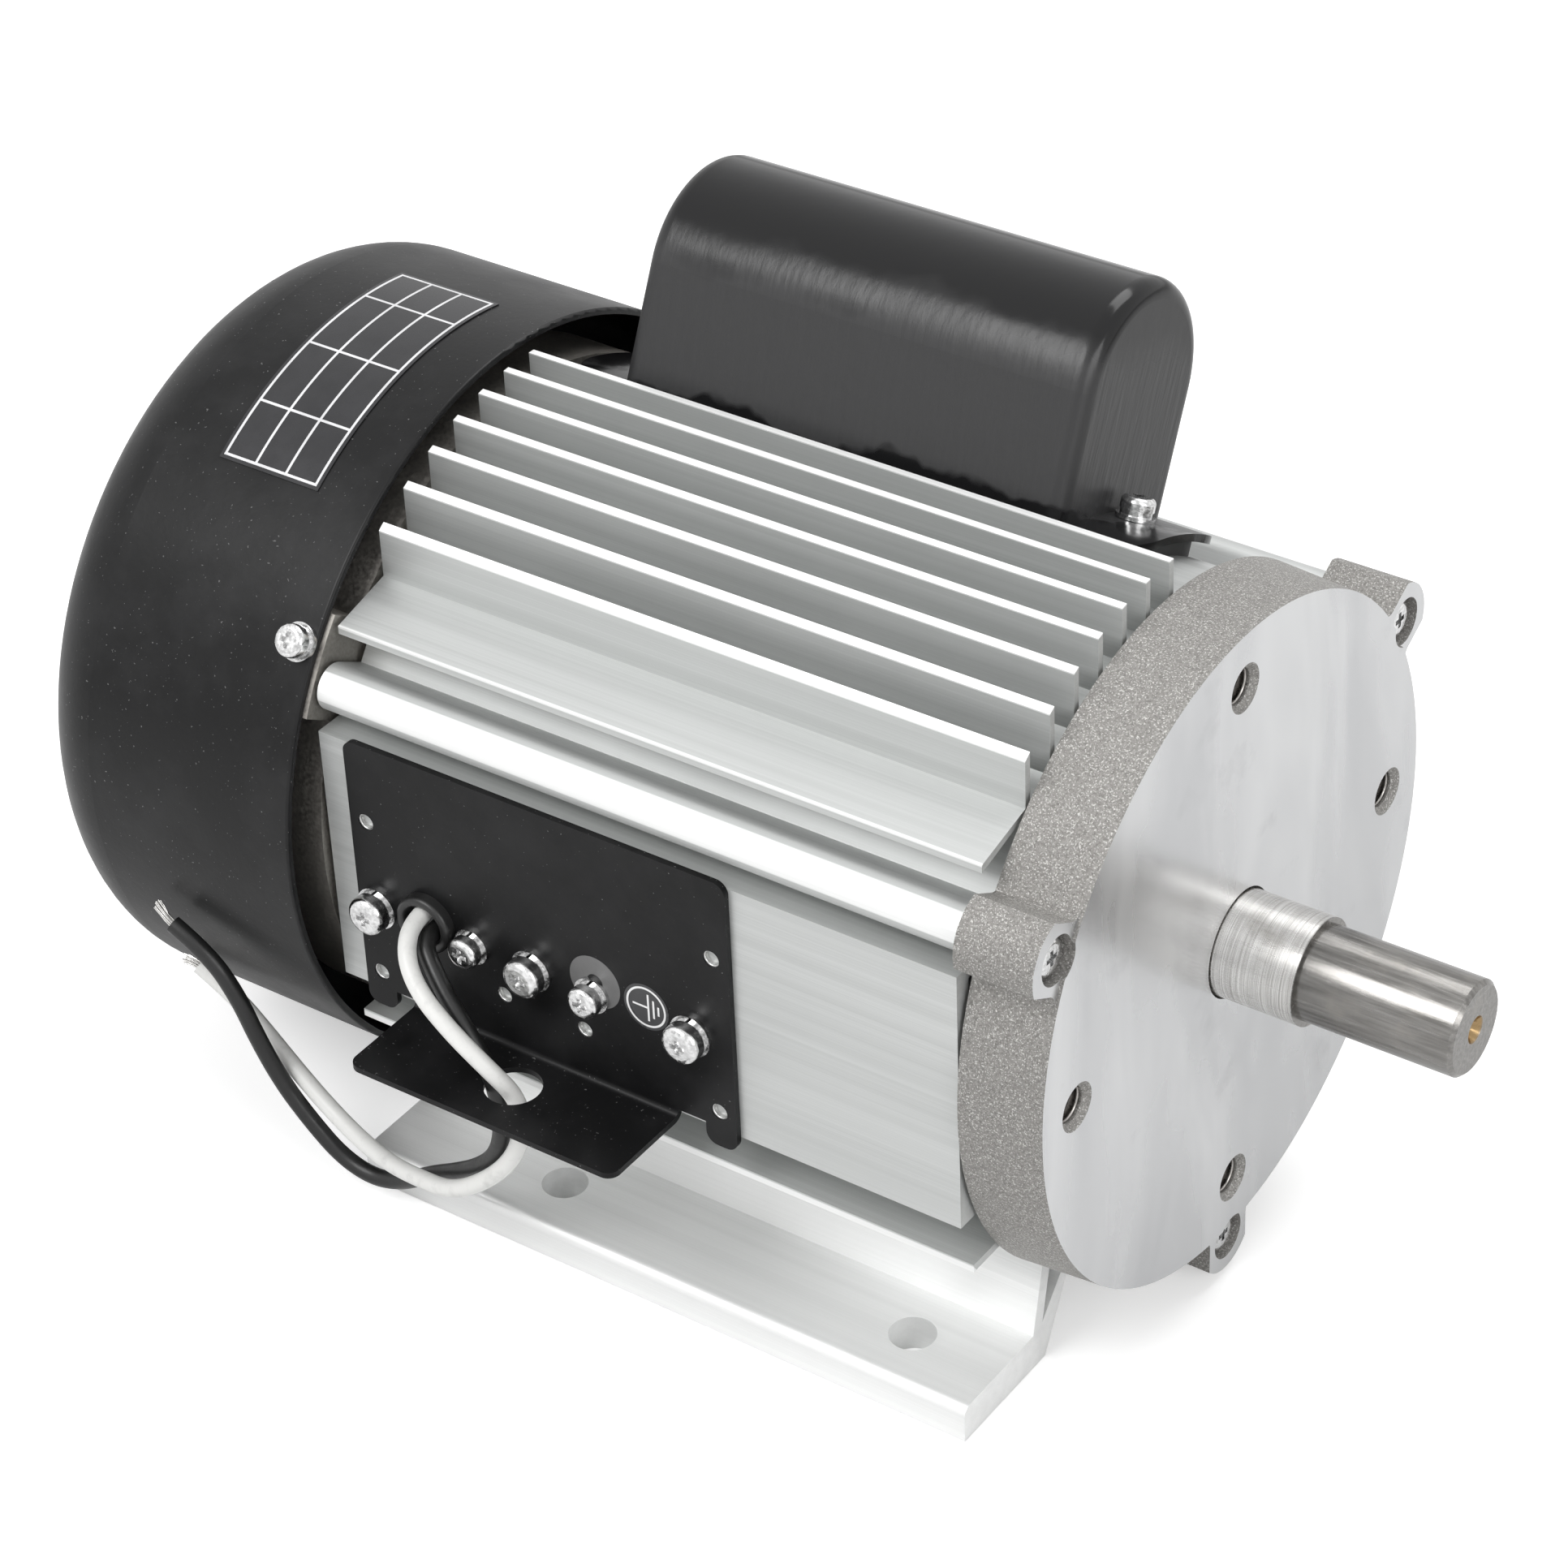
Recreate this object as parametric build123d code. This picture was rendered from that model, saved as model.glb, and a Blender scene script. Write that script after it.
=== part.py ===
"""Foot and flange mounted single-phase motor with a capacitor start.

The origin is the centre of the foot bolt pattern, on the underside of the feet.
+X points along the shaft, out of the front flange, and +Z points up.
All lengths are in millimetres and all angles in degrees.
"""
from build123d import *
from math import cos, radians, sin, sqrt, tan
import os

# Shaft line and frame extrusion
SHAFT_HEIGHT = 95.0
FRAME_REAR = -96.3
FRAME_LENGTH = 168.0
BODY_RADIUS = 76.0
BORE_RADIUS = 69.5
FIN_COUNT = 7
FIN_PITCH = 9.4
FIN_THICKNESS = 1.8
LAST_FIN_Y = 4.7
TIP_RADIUS = 88.8
LEDGE_THICKNESS = 2.0
UPPER_LEDGE_TIP_Z = 55.7
UPPER_LEDGE_ROOT_Z = 60.2
LOWER_LEDGE_Z = -48.3
FLAT_Y = 79.2
FLAT_HEIGHT = 67.2
FLAT_WALL = 4.5
FLAT_WEB = 3.0

# Screw channels, through bolts and ears
BOLT_ANGLES = (30, 150, 270)
BOLT_OUTSIDE_BODY = 8.1
CHANNEL_WIDTH = 11.0
BOLT_RADIUS = 2.5
BOLT_HEAD_RADIUS = 4.75
BOLT_HEAD_HEIGHT = 3.6
BOLT_END = -106.0
HOLE_CLEARANCE = 0.3
THREAD_CLEARANCE = 0.05
COUNTERBORE_GAP = 1.0
COUNTERBORE_DEPTH = 4.8

# Feet
FOOT_THICKNESS = 9.3
FOOT_INNER_Y = 46.0
FOOT_ROUND = 2.5
FOOT_HOLE_RADIUS = 5.5
FOOT_SPACING_X = 97.0
FOOT_SPACING_Y = 129.0
LEG_OUTER_Y = 47.0
LEG_KNEE_Z = -67.4
LEG_FOOT_Y = 51.0
LEG_INNER_Y = 33.5
LEG_INNER_KNEE = (36.9, -77.5)
LEG_TOP_Z = -56.2
LEG_HOLLOW = ((-44.2, -70.6), (-47.2, -84.3), (-39.4, -75.3))

# Front flange
FLANGE_BACK = 72.7
FLANGE_THICKNESS = 20.0
FLANGE_RADIUS = 80.0
FLANGE_DRAFT = 1.3
EAR_WIDTH = 16.0
EAR_OVER_BOLT = 8.9
EAR_CROWN = 3.5
EAR_STEP = 0.9
EAR_FILLET = 3.0
FLANGE_HOLE_COUNT = 4
FLANGE_PCD = 133.0
FLANGE_HOLE_RADIUS = 4.25
FLANGE_HOLE_CHAMFER = 1.5
FLANGE_HOLE_DEPTH = 17.0
SPIGOT_CLEARANCE = 0.05
SPIGOT_WALL = 6.5
SPIGOT_LENGTH = 5.0
SPIGOT_SHOULDER = 1.0
SHOULDER_WALL = 4.5
POCKET_INNER = 34.0
POCKET_OUTER = 58.0
POCKET_DEPTH = 12.0
SHAFT_HOLE_CLEARANCE = 0.5
FRONT_WEB = 7.7

# Bearings: bore radius, outer radius, width, ball radius, ball count
FRONT_BEARING = (12.5, 26.0, 15.0, 3.97, 9)
REAR_BEARING = (10.0, 23.5, 14.0, 3.97, 8)
BALL_CLEARANCE = 0.03
RACE_SHARE = 0.7
SEAT_CLEARANCE = 0.02
WAVE_WASHER_THICKNESS = 0.7
WAVE_WASHER_WIDTH = 3.7
WAVE_WASHER_CLEARANCE = 0.3

# Shaft
SHAFT_CORE_RADIUS = 13.5
OUTPUT_RADIUS = 11.1
OUTPUT_LENGTH = 37.4
COLLAR_LENGTH = 20.0
SHAFT_CHAMFER = 1.0
CENTRE_DRILL_RADIUS = 3.2
GOVERNOR_SHAFT_RADIUS = 11.0
FAN_SEAT_RADIUS = 8.5
REAR_BEARING_FRONT = -104.0
SHAFT_REAR = -166.0

# Electrical core
CORE_LENGTH = 90.0
CORE_BORE = 41.0
AIR_GAP = 0.4
SLOT_COUNT = 24
SLOT_WIDTH = 6.0
SLOT_INNER = 44.8
SLOT_MIDDLE = 52.3
SLOT_OUTER = 60.2
SLOT_MOUTH = 2.5
WIRE_GAP = 0.2
MAIN_OVERHANG = 22.0
START_OVERHANG = 18.0
MAIN_RING_WALL = 8.5
RING_STEP = 0.5
BAR_COUNT = 28
BAR_RADIUS = 3.0
BAR_CIRCLE = 36.0
END_RING_LENGTH = 8.0
END_RING_INNER = 25.0
END_RING_LIP = 0.6

# Rear end bell
BELL_RING_RADIUS = 81.0
BELL_RING_LENGTH = 20.0
BELL_WEB = 5.3
BELL_EAR_WIDTH = 24.0
BELL_EAR_THICKNESS = 12.0
BELL_EAR_SHIFT = 2.5
BELL_BOSS_WIDTH = 12.0
BELL_HUB_RADIUS = 30.0
BELL_BACK_WALL = 1.8

# Fan cover
COVER_RIM = -98.5
COVER_REAR = -178.5
COVER_RADIUS = 91.4
COVER_WALL = 1.5
COVER_CORNER = 21.0
COVER_RIM_ROUND = 0.7
COVER_FIT = 0.1
COVER_SCREW_X = -102.8
COVER_SCREW_ANGLES = (25, 145, 252)
COVER_SCREW_LENGTH = 6.0
VENT_RADII = (16.0, 26.0, 36.0, 46.0, 56.0)
VENT_WIDTH = 5.0
VENT_SPOKES = 4
VENT_SPOKE_WIDTH = 7.0

# Rating label on the fan cover
LABEL_FRONT = -114.0
LABEL_REAR = -142.5
LABEL_START_ANGLE = 80.0
LABEL_END_ANGLE = 124.4
LABEL_THICKNESS = 0.25
LABEL_GLUE = 0.05

# Small screws: thread radius, head radius, head height, spring washer and flat washer
LARGE_SCREW = {"thread": 2.5, "head": 4.8, "height": 3.6, "spring": 4.4, "flat": 5.25}
SMALL_SCREW = {"thread": 2.0, "head": 3.9, "height": 3.0, "spring": 3.6, "flat": 4.5}
SPRING_WASHER_THICKNESS = 1.2
FLAT_WASHER_THICKNESS = 0.9
WASHER_SPLIT = 0.8
RECESS_WIDTH = 1.2
RECESS_SPAN = 3.8
RECESS_DEPTH = 1.4

# Terminal plate
PLATE_THICKNESS = 1.5
PLATE_REAR = -88.3
PLATE_FRONT = 14.7
PLATE_TOP = 35.2
PLATE_ROUND = 3.0
TAB_WIDTH = 8.3
TAB_BOTTOM = -37.2
SHELF_TOP = -33.2
SHELF_REAR = -74.5
SHELF_FRONT = -1.0
SHELF_Y = -105.5
SHELF_BEND = 1.5
LEAD_HOLE_X = -38.0
LEAD_HOLE_Y = -92.1
LEAD_HOLE_RADIUS = 6.65
PLATE_SCREW_X = (-82.7, -39.1, 4.0)
TERMINAL_SCREW_X = (-55.8, -22.6)
SCREW_ROW = -8.6
PLATE_SCREW_LENGTH = 6.0
TAP_RADIUS = 2.1
TAPPED_HOLES = ((-48.0, -19.3), (-25.7, -19.8))
COVER_HOLE_SPACING_X = 94.1
COVER_HOLE_SPACING_Z = 41.8
COVER_HOLE_X = -36.8
COVER_HOLE_ROW = -6.6

# Grommet and leads
LEAD_DIAMETER = 4.2
STRAND_DIAMETER = 2.4
GROMMET_X = -68.0
GROMMET_ROW = -6.6
GROMMET_RADIUS = 6.6
GROMMET_FLANGE = 7.3
GROMMET_BORE = 5.0
GROMMET_PROUD = 3.0
GROMMET_RECESS = 0.5
GROMMET_BACK = 2.0
BLACK_EXIT = (2.2, -1.2)
WHITE_EXIT = (-0.6, 2.6)
STRIPPED_BLACK = 5.0
STRIPPED_WHITE = 4.0

# Capacitor and its cover
CAP_ANGLE = 65.0
CAP_REAR = -76.8
CAP_WALL = 1.5
CAP_ROUND = 4.3
CAP_SHEET = 1.8
GASKET_THICKNESS = 4.0
CAP_TAB = 17.5
CAP_TAB_ROUND = 14.0
CAP_SCREW_REACH = 5.2
GASKET_INSET = 3.0
CAN_RADIUS = 22.0
CAN_LENGTH = 96.4
CAN_ROUND = 1.5
CAN_SEAT = 0.1
CAN_SIDE_GAP = 1.5
CAN_HEADROOM = 8.2
TERMINAL_LENGTH = 7.0
TERMINAL_WIDTH = 6.3
TERMINAL_THICKNESS = 0.8
TERMINAL_SPACING = 16.0
TERMINAL_GAP = 1.5
CAP_SCREW_BITE = 4.0

# Cooling fan
FAN_RADIUS = 78.0
FAN_FRONT = -130.0
FAN_LENGTH = 30.0
FAN_HUB_RADIUS = 16.0
FAN_PLATE = 2.5
FAN_BLADES = 8
FAN_BLADE_INNER = 14.0
FAN_BLADE_TIP = 77.0
FAN_BLADE_STEP = 2.0
FAN_BLADE_THICKNESS = 2.5
CLIP_THICKNESS = 1.2
CLIP_DEPTH = 0.8
CLIP_RISE = 2.2

# Centrifugal switch
PIVOT_X = -80.0
PIVOT_RADIUS = 20.0
PIN_RADIUS = 1.5
PIN_CLEARANCE = 0.06
GOVERNOR_DISC_FRONT = -62.0
GOVERNOR_DISC_THICKNESS = 4.0
GOVERNOR_DISC_RADIUS = 25.0
LUG_INNER_Y = 7.0
LUG_THICKNESS = 2.0
LUG_HALF_HEIGHT = 4.0
LUG_REACH = 3.4
WEIGHT_CLEARANCE = 0.3
WEIGHT_TOP = 28.0
WEIGHT_BOTTOM = 18.5
WEIGHT_EYE_RADIUS = 3.0
WEIGHT_END_GAP = 2.0
FINGER_LENGTH = 7.5
FINGER_THICKNESS = 2.0
FINGER_WIDTH = 9.0
GROOVE_WIDTH = 4.4
GROOVE_RADIUS = 12.2
COLLAR_RADIUS = 15.0
COLLAR_RIM = 1.5
COLLAR_BORE_CLEARANCE = 0.05
COLLAR_TRAVEL = 2.0
PUSH_RING_REAR = -91.2
PUSH_RING_RADIUS = 19.0
PUSH_RING_THICKNESS = 2.0
SPRING_GAP = 0.15
SPRING_WIRE = 0.7
BOARD_FRONT = -95.5
BOARD_THICKNESS = 2.5
BOARD_INNER = 23.0
BOARD_OUTER = 46.0
BOARD_POST_RADIUS = 4.0
BOARD_POST_CIRCLE = 39.0
BOARD_POST_ANGLES = (0, 180)
BOARD_SCREW_HEAD = 2.0
BOARD_SCREW_BITE = 6.0
BOARD_LUG_GAP = 0.4
BOARD_LUG_THICKNESS = 2.4
ARM_X = -92.5
ARM_PIVOT_Y = 24.0
ARM_THICKNESS = 1.5
ARM_BARREL_RADIUS = 2.6
ARM_BARREL_LENGTH = 38.0
ARM_PIN_RADIUS = 1.2
ARM_PRONG_INNER = 14.5
ARM_PRONG_OUTER = 19.3
ARM_REACH = 52.0
ARM_TIP_WIDTH = 4.4
ARM_TIP_STEP = 0.3
ARM_SHOULDER_Y = 6.0
ARM_PAD_WIDTH = 3.0
ARM_PAD_GAP = 0.15
CONTACT_RADIUS = 2.0
CONTACT_INSET = 4.0
CONTACT_HEIGHT = 1.5
CONTACT_GAP = 0.05

FRAME_FRONT = FRAME_REAR + FRAME_LENGTH
BOLT_CIRCLE_RADIUS = BODY_RADIUS + BOLT_OUTSIDE_BODY
COUNTERBORE_RADIUS = BOLT_HEAD_RADIUS + COUNTERBORE_GAP
EAR_TOP_RADIUS = BOLT_CIRCLE_RADIUS + EAR_OVER_BOLT
EAR_SHOULDER_RADIUS = EAR_TOP_RADIUS - EAR_CROWN
FLANGE_FACE = FLANGE_BACK + FLANGE_THICKNESS
EAR_FACE = FLANGE_FACE - EAR_STEP
BELL_FRONT = FRAME_REAR - SPIGOT_SHOULDER
BELL_BACK = BELL_FRONT - BELL_RING_LENGTH
CAP_LENGTH = CAN_LENGTH + 2 * (TERMINAL_LENGTH + TERMINAL_GAP + CAP_WALL)
CAP_FRONT = CAP_REAR + CAP_LENGTH
CAP_WIDTH = 2 * (CAN_RADIUS + CAN_SIDE_GAP + CAP_WALL)
CAP_SHEET_SEAT = BODY_RADIUS + GASKET_THICKNESS
CAP_SHEET_RADIUS = CAP_SHEET_SEAT + CAP_SHEET
CAN_AXIS = CAP_SHEET_SEAT + CAN_SEAT + CAN_RADIUS
CAP_TOP = CAN_AXIS + CAN_RADIUS + CAN_HEADROOM + CAP_WALL
PLATE_FACE = FLAT_Y + PLATE_THICKNESS
GROMMET_ROUND = 0.45 * (GROMMET_FLANGE - GROMMET_BORE)
LEAD_RADIUS = LEAD_DIAMETER / 2
LEAD_EXIT_Y = GROMMET_RECESS - PLATE_FACE
BLACK_EXIT_X = GROMMET_X + BLACK_EXIT[0]
BLACK_EXIT_Z = SHAFT_HEIGHT + GROMMET_ROW + BLACK_EXIT[1]
WHITE_EXIT_X = GROMMET_X + WHITE_EXIT[0]
WHITE_EXIT_Z = SHAFT_HEIGHT + GROMMET_ROW + WHITE_EXIT[1]
FAR = 400.0

# Lead routes, from inside the grommet to the end of the insulation
BLACK_ROUTE = (
    (BLACK_EXIT_X, LEAD_EXIT_Y, BLACK_EXIT_Z),
    (BLACK_EXIT_X, LEAD_EXIT_Y - 5.8, BLACK_EXIT_Z),
    (-60.6, -89.3, 83.4),
    (-54.6, -91.8, 78.4),
    (-48.0, -93.6, 72.6),
    (-42.4, -94.2, 65.4),
    (-40.8, -93.8, 56.0),
    (-41.8, -92.8, 46.8),
    (-45.6, -91.2, 37.8),
    (-52.4, -89.4, 30.2),
    (-60.8, -87.8, 23.8),
    (-70.6, -86.2, 17.4),
    (-81.0, -84.3, 8.2),
    (-92.4, -84.0, 2.4),
    (-102.8, -84.4, 3.6),
    (-110.9, -84.8, 11.9),
    (-117.0, -86.0, 22.5),
    (-121.8, -87.6, 35.0),
    (-125.2, -89.4, 47.5),
    (-131.2, -91.2, 57.3),
    (-140.8, -92.0, 63.6),
)
WHITE_ROUTE = (
    (WHITE_EXIT_X, LEAD_EXIT_Y, WHITE_EXIT_Z),
    (WHITE_EXIT_X, LEAD_EXIT_Y - 6.0, WHITE_EXIT_Z),
    (-65.2, -93.0, 87.4),
    (-58.6, -97.0, 82.6),
    (-49.0, -98.4, 76.4),
    (-39.8, -97.2, 68.6),
    (-35.8, -93.8, 60.8),
    (-35.6, -92.6, 51.2),
    (-38.6, -93.4, 41.6),
    (-46.0, -94.4, 32.6),
    (-56.8, -94.6, 24.6),
    (-68.8, -92.6, 19.4),
    (-80.6, -89.8, 16.8),
    (-92.4, -86.4, 15.6),
    (-103.4, -83.4, 19.0),
    (-111.6, -81.8, 27.4),
    (-119.2, -81.2, 36.8),
    (-129.4, -81.0, 43.0),
    (-141.3, -82.6, 46.4),
)


def section(x):
    """Plane across the shaft at x: its own x is world Y, its own y is height over the shaft."""
    return Plane(origin=(x, 0, SHAFT_HEIGHT), x_dir=(0, 1, 0), z_dir=(1, 0, 0))


def radial(x, angle, radius):
    """Plane that faces outwards at an angle from +Y towards +Z, at a radius from the shaft."""
    y = cos(radians(angle))
    z = sin(radians(angle))
    origin = (x, radius * y, SHAFT_HEIGHT + radius * z)
    return Plane(origin=origin, x_dir=(1, 0, 0), z_dir=(0, y, z))


def side(x, height):
    """Plane that faces outwards on the terminal plate's side of the frame."""
    return Plane(origin=(x, -FLAT_Y, SHAFT_HEIGHT + height), x_dir=(1, 0, 0), z_dir=(0, -1, 0))


def along(rear, front, sketch):
    """Extrude a cross-section from rear to front."""
    return extrude(section(rear) * sketch, amount=front - rear)


def annulus(inner, outer):
    return Circle(outer) - Circle(inner)


def tube(rear, front, outer, inner=0.0):
    """Round piece on the shaft line."""
    if inner <= 0:
        return along(rear, front, Circle(outer))
    return along(rear, front, annulus(inner, outer))


def rod(plane, radius, start, end):
    """Cylinder along a plane's own z, from start to end."""
    return extrude(plane.offset(start) * Circle(radius), amount=end - start)


def polar(angle, radius):
    return (radius * cos(radians(angle)), radius * sin(radians(angle)))


def arm(angle, inner, outer, width):
    """Radial bar of a cross-section."""
    bar = Pos((inner + outer) / 2, 0) * Rectangle(outer - inner, width)
    return Rot(0, 0, angle) * bar


def mirrored(sketch):
    return sketch + mirror(sketch, about=Plane.YZ)


def drill(solid, plane, radius, start, end):
    return solid - rod(plane, radius, start, end)


def motor_frame():
    profile = Circle(BODY_RADIUS)
    for index in range(FIN_COUNT):
        y = LAST_FIN_Y - index * FIN_PITCH
        fin = Pos(y, TIP_RADIUS / 2) * Rectangle(FIN_THICKNESS, TIP_RADIUS)
        profile += fin & Circle(TIP_RADIUS)
    outer_fin_y = LAST_FIN_Y - (FIN_COUNT - 1) * FIN_PITCH
    root = outer_fin_y + FIN_THICKNESS / 2
    tip = -sqrt(TIP_RADIUS ** 2 - UPPER_LEDGE_TIP_Z ** 2)
    upper = Polygon(
        (root, sqrt(BODY_RADIUS ** 2 - root ** 2) - LEDGE_THICKNESS),
        (root, UPPER_LEDGE_ROOT_Z),
        (tip, UPPER_LEDGE_TIP_Z),
        (tip, UPPER_LEDGE_TIP_Z - LEDGE_THICKNESS),
        (root - FIN_THICKNESS, UPPER_LEDGE_ROOT_Z - LEDGE_THICKNESS),
        (root - FIN_THICKNESS, sqrt(BODY_RADIUS ** 2 - root ** 2) - LEDGE_THICKNESS),
        align=None,
    )
    lower_tip = -sqrt(TIP_RADIUS ** 2 - LOWER_LEDGE_Z ** 2)
    lower_mid = (lower_tip - LEG_OUTER_Y) / 2
    lower = Pos(lower_mid, LOWER_LEDGE_Z) * Rectangle(-lower_tip - LEG_OUTER_Y, LEDGE_THICKNESS)
    wall = Pos(-FLAT_Y + FLAT_WALL / 2, 0) * Rectangle(FLAT_WALL, FLAT_HEIGHT)
    web_reach = FLAT_Y - BORE_RADIUS * 0.9
    web = Pos(-FLAT_Y + web_reach / 2, 0) * (
        Rectangle(web_reach, FLAT_HEIGHT) - Rectangle(web_reach, FLAT_HEIGHT - 2 * FLAT_WEB)
    )
    leg = Polygon(
        (-LEG_OUTER_Y, LEG_TOP_Z),
        (-LEG_OUTER_Y, LEG_KNEE_Z),
        (-LEG_FOOT_Y, FOOT_THICKNESS - SHAFT_HEIGHT),
        (-LEG_FOOT_Y, -SHAFT_HEIGHT),
        (-FOOT_INNER_Y, -SHAFT_HEIGHT),
        (-LEG_INNER_KNEE[0], LEG_INNER_KNEE[1]),
        (-LEG_INNER_Y, LEG_KNEE_Z),
        (-LEG_INNER_Y, LEG_TOP_Z),
        align=None,
    )
    hollow = Polygon(*LEG_HOLLOW, align=None)
    foot_width = FLAT_Y - FOOT_INNER_Y
    foot_y = -(FLAT_Y + FOOT_INNER_Y) / 2
    foot = Pos(foot_y, FOOT_THICKNESS / 2 - SHAFT_HEIGHT) * Rectangle(foot_width, FOOT_THICKNESS)
    foot_corner = foot.vertices().sort_by(Axis.Y)[-2:].sort_by(Axis.X)[0]
    foot = fillet(foot_corner, FOOT_ROUND)
    half = lower + wall + web + leg + foot
    profile += mirrored(half) + upper
    profile -= mirrored(hollow)
    for angle in BOLT_ANGLES:
        profile += arm(angle, BORE_RADIUS, BOLT_CIRCLE_RADIUS, CHANNEL_WIDTH)
        profile += Pos(polar(angle, BOLT_CIRCLE_RADIUS)) * Circle(CHANNEL_WIDTH / 2)
    profile -= Circle(BORE_RADIUS)
    for angle in BOLT_ANGLES:
        profile -= Pos(polar(angle, BOLT_CIRCLE_RADIUS)) * Circle(BOLT_RADIUS + HOLE_CLEARANCE)
    frame = along(FRAME_REAR, FRAME_FRONT, profile)
    for x in (-FOOT_SPACING_X / 2, FOOT_SPACING_X / 2):
        for y in (-FOOT_SPACING_Y / 2, FOOT_SPACING_Y / 2):
            frame -= Pos(x, y, FOOT_THICKNESS / 2) * Cylinder(FOOT_HOLE_RADIUS, 2 * FOOT_THICKNESS)
    for x in PLATE_SCREW_X:
        hole_radius = LARGE_SCREW["thread"] + THREAD_CLEARANCE
        frame = drill(frame, side(x, SCREW_ROW), hole_radius, -PLATE_SCREW_LENGTH, 1)
    for x in TERMINAL_SCREW_X:
        hole_radius = SMALL_SCREW["thread"] + THREAD_CLEARANCE
        frame = drill(frame, side(x, SCREW_ROW), hole_radius, -PLATE_SCREW_LENGTH, 1)
    grommet_depth = FLAT_Y - BORE_RADIUS + 2 * FLAT_WALL
    frame = drill(frame, side(GROMMET_X, GROMMET_ROW), GROMMET_RADIUS, -grommet_depth, 1)
    for plane in capacitor_screw_planes(BODY_RADIUS):
        core_depth = CAP_SCREW_BITE + HOLE_CLEARANCE
        frame = drill(frame, plane, SMALL_SCREW["thread"] + THREAD_CLEARANCE, -core_depth, 1)
    return frame


def ear_sketch(angle):
    half = EAR_WIDTH / 2
    rise = EAR_TOP_RADIUS - EAR_SHOULDER_RADIUS
    top = (half ** 2 + rise ** 2) / (2 * rise)
    strip = arm(0, BORE_RADIUS, EAR_TOP_RADIUS, EAR_WIDTH)
    body = arm(0, BORE_RADIUS, EAR_SHOULDER_RADIUS, EAR_WIDTH)
    crown = strip & (Pos(EAR_TOP_RADIUS - top, 0) * Circle(top))
    return Rot(0, 0, angle) * (body + crown)


def flange_outline():
    """Flange rim with its ears, and a fillet in each corner between them."""
    outline = Circle(FLANGE_RADIUS)
    for angle in BOLT_ANGLES:
        outline += ear_sketch(angle)
    corners = [
        corner for corner in outline.vertices() if abs(Vector(corner).length - FLANGE_RADIUS) < 0.01
    ]
    return fillet(corners, EAR_FILLET)


def front_flange():
    disc = Cone(
        FLANGE_RADIUS + FLANGE_DRAFT,
        FLANGE_RADIUS,
        FLANGE_THICKNESS,
        align=(Align.CENTER, Align.CENTER, Align.MIN),
    )
    flange = section(FLANGE_BACK) * disc + along(FLANGE_BACK, EAR_FACE, flange_outline())
    spigot = BORE_RADIUS - SPIGOT_CLEARANCE
    shoulder_rear = FRAME_FRONT
    flange += tube(shoulder_rear, FLANGE_BACK, BORE_RADIUS + SHOULDER_WALL, spigot - SPIGOT_WALL)
    flange += tube(shoulder_rear - SPIGOT_LENGTH, FLANGE_BACK, spigot, spigot - SPIGOT_WALL)
    seat_rear = FLANGE_FACE - FRONT_WEB - FRONT_BEARING[2]
    flange += tube(seat_rear, FLANGE_BACK, POCKET_INNER)
    flange -= tube(FLANGE_BACK, FLANGE_BACK + POCKET_DEPTH, POCKET_OUTER, POCKET_INNER)
    seat_front = FLANGE_FACE - FRONT_WEB
    flange -= tube(seat_rear, seat_front, FRONT_BEARING[1] + SEAT_CLEARANCE)
    flange -= tube(seat_front, FLANGE_FACE, FRONT_BEARING[0] + SHAFT_HOLE_CLEARANCE)
    for index in range(FLANGE_HOLE_COUNT):
        spot = Pos(polar(index * 360 / FLANGE_HOLE_COUNT, FLANGE_PCD / 2))
        flange -= along(FLANGE_FACE - FLANGE_HOLE_DEPTH, FLANGE_FACE, spot * Circle(FLANGE_HOLE_RADIUS))
        mouth = Cone(
            FLANGE_HOLE_RADIUS,
            FLANGE_HOLE_RADIUS + FLANGE_HOLE_CHAMFER,
            FLANGE_HOLE_CHAMFER,
            align=(Align.CENTER, Align.CENTER, Align.MIN),
        )
        flange -= section(FLANGE_FACE - FLANGE_HOLE_CHAMFER) * spot * mouth
    for angle in BOLT_ANGLES:
        spot = Pos(polar(angle, BOLT_CIRCLE_RADIUS))
        hole = spot * Circle(BOLT_RADIUS + HOLE_CLEARANCE)
        flange -= along(FLANGE_BACK, EAR_FACE, hole)
        flange -= along(EAR_FACE - COUNTERBORE_DEPTH, FLANGE_FACE, spot * Circle(COUNTERBORE_RADIUS))
    return flange


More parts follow.
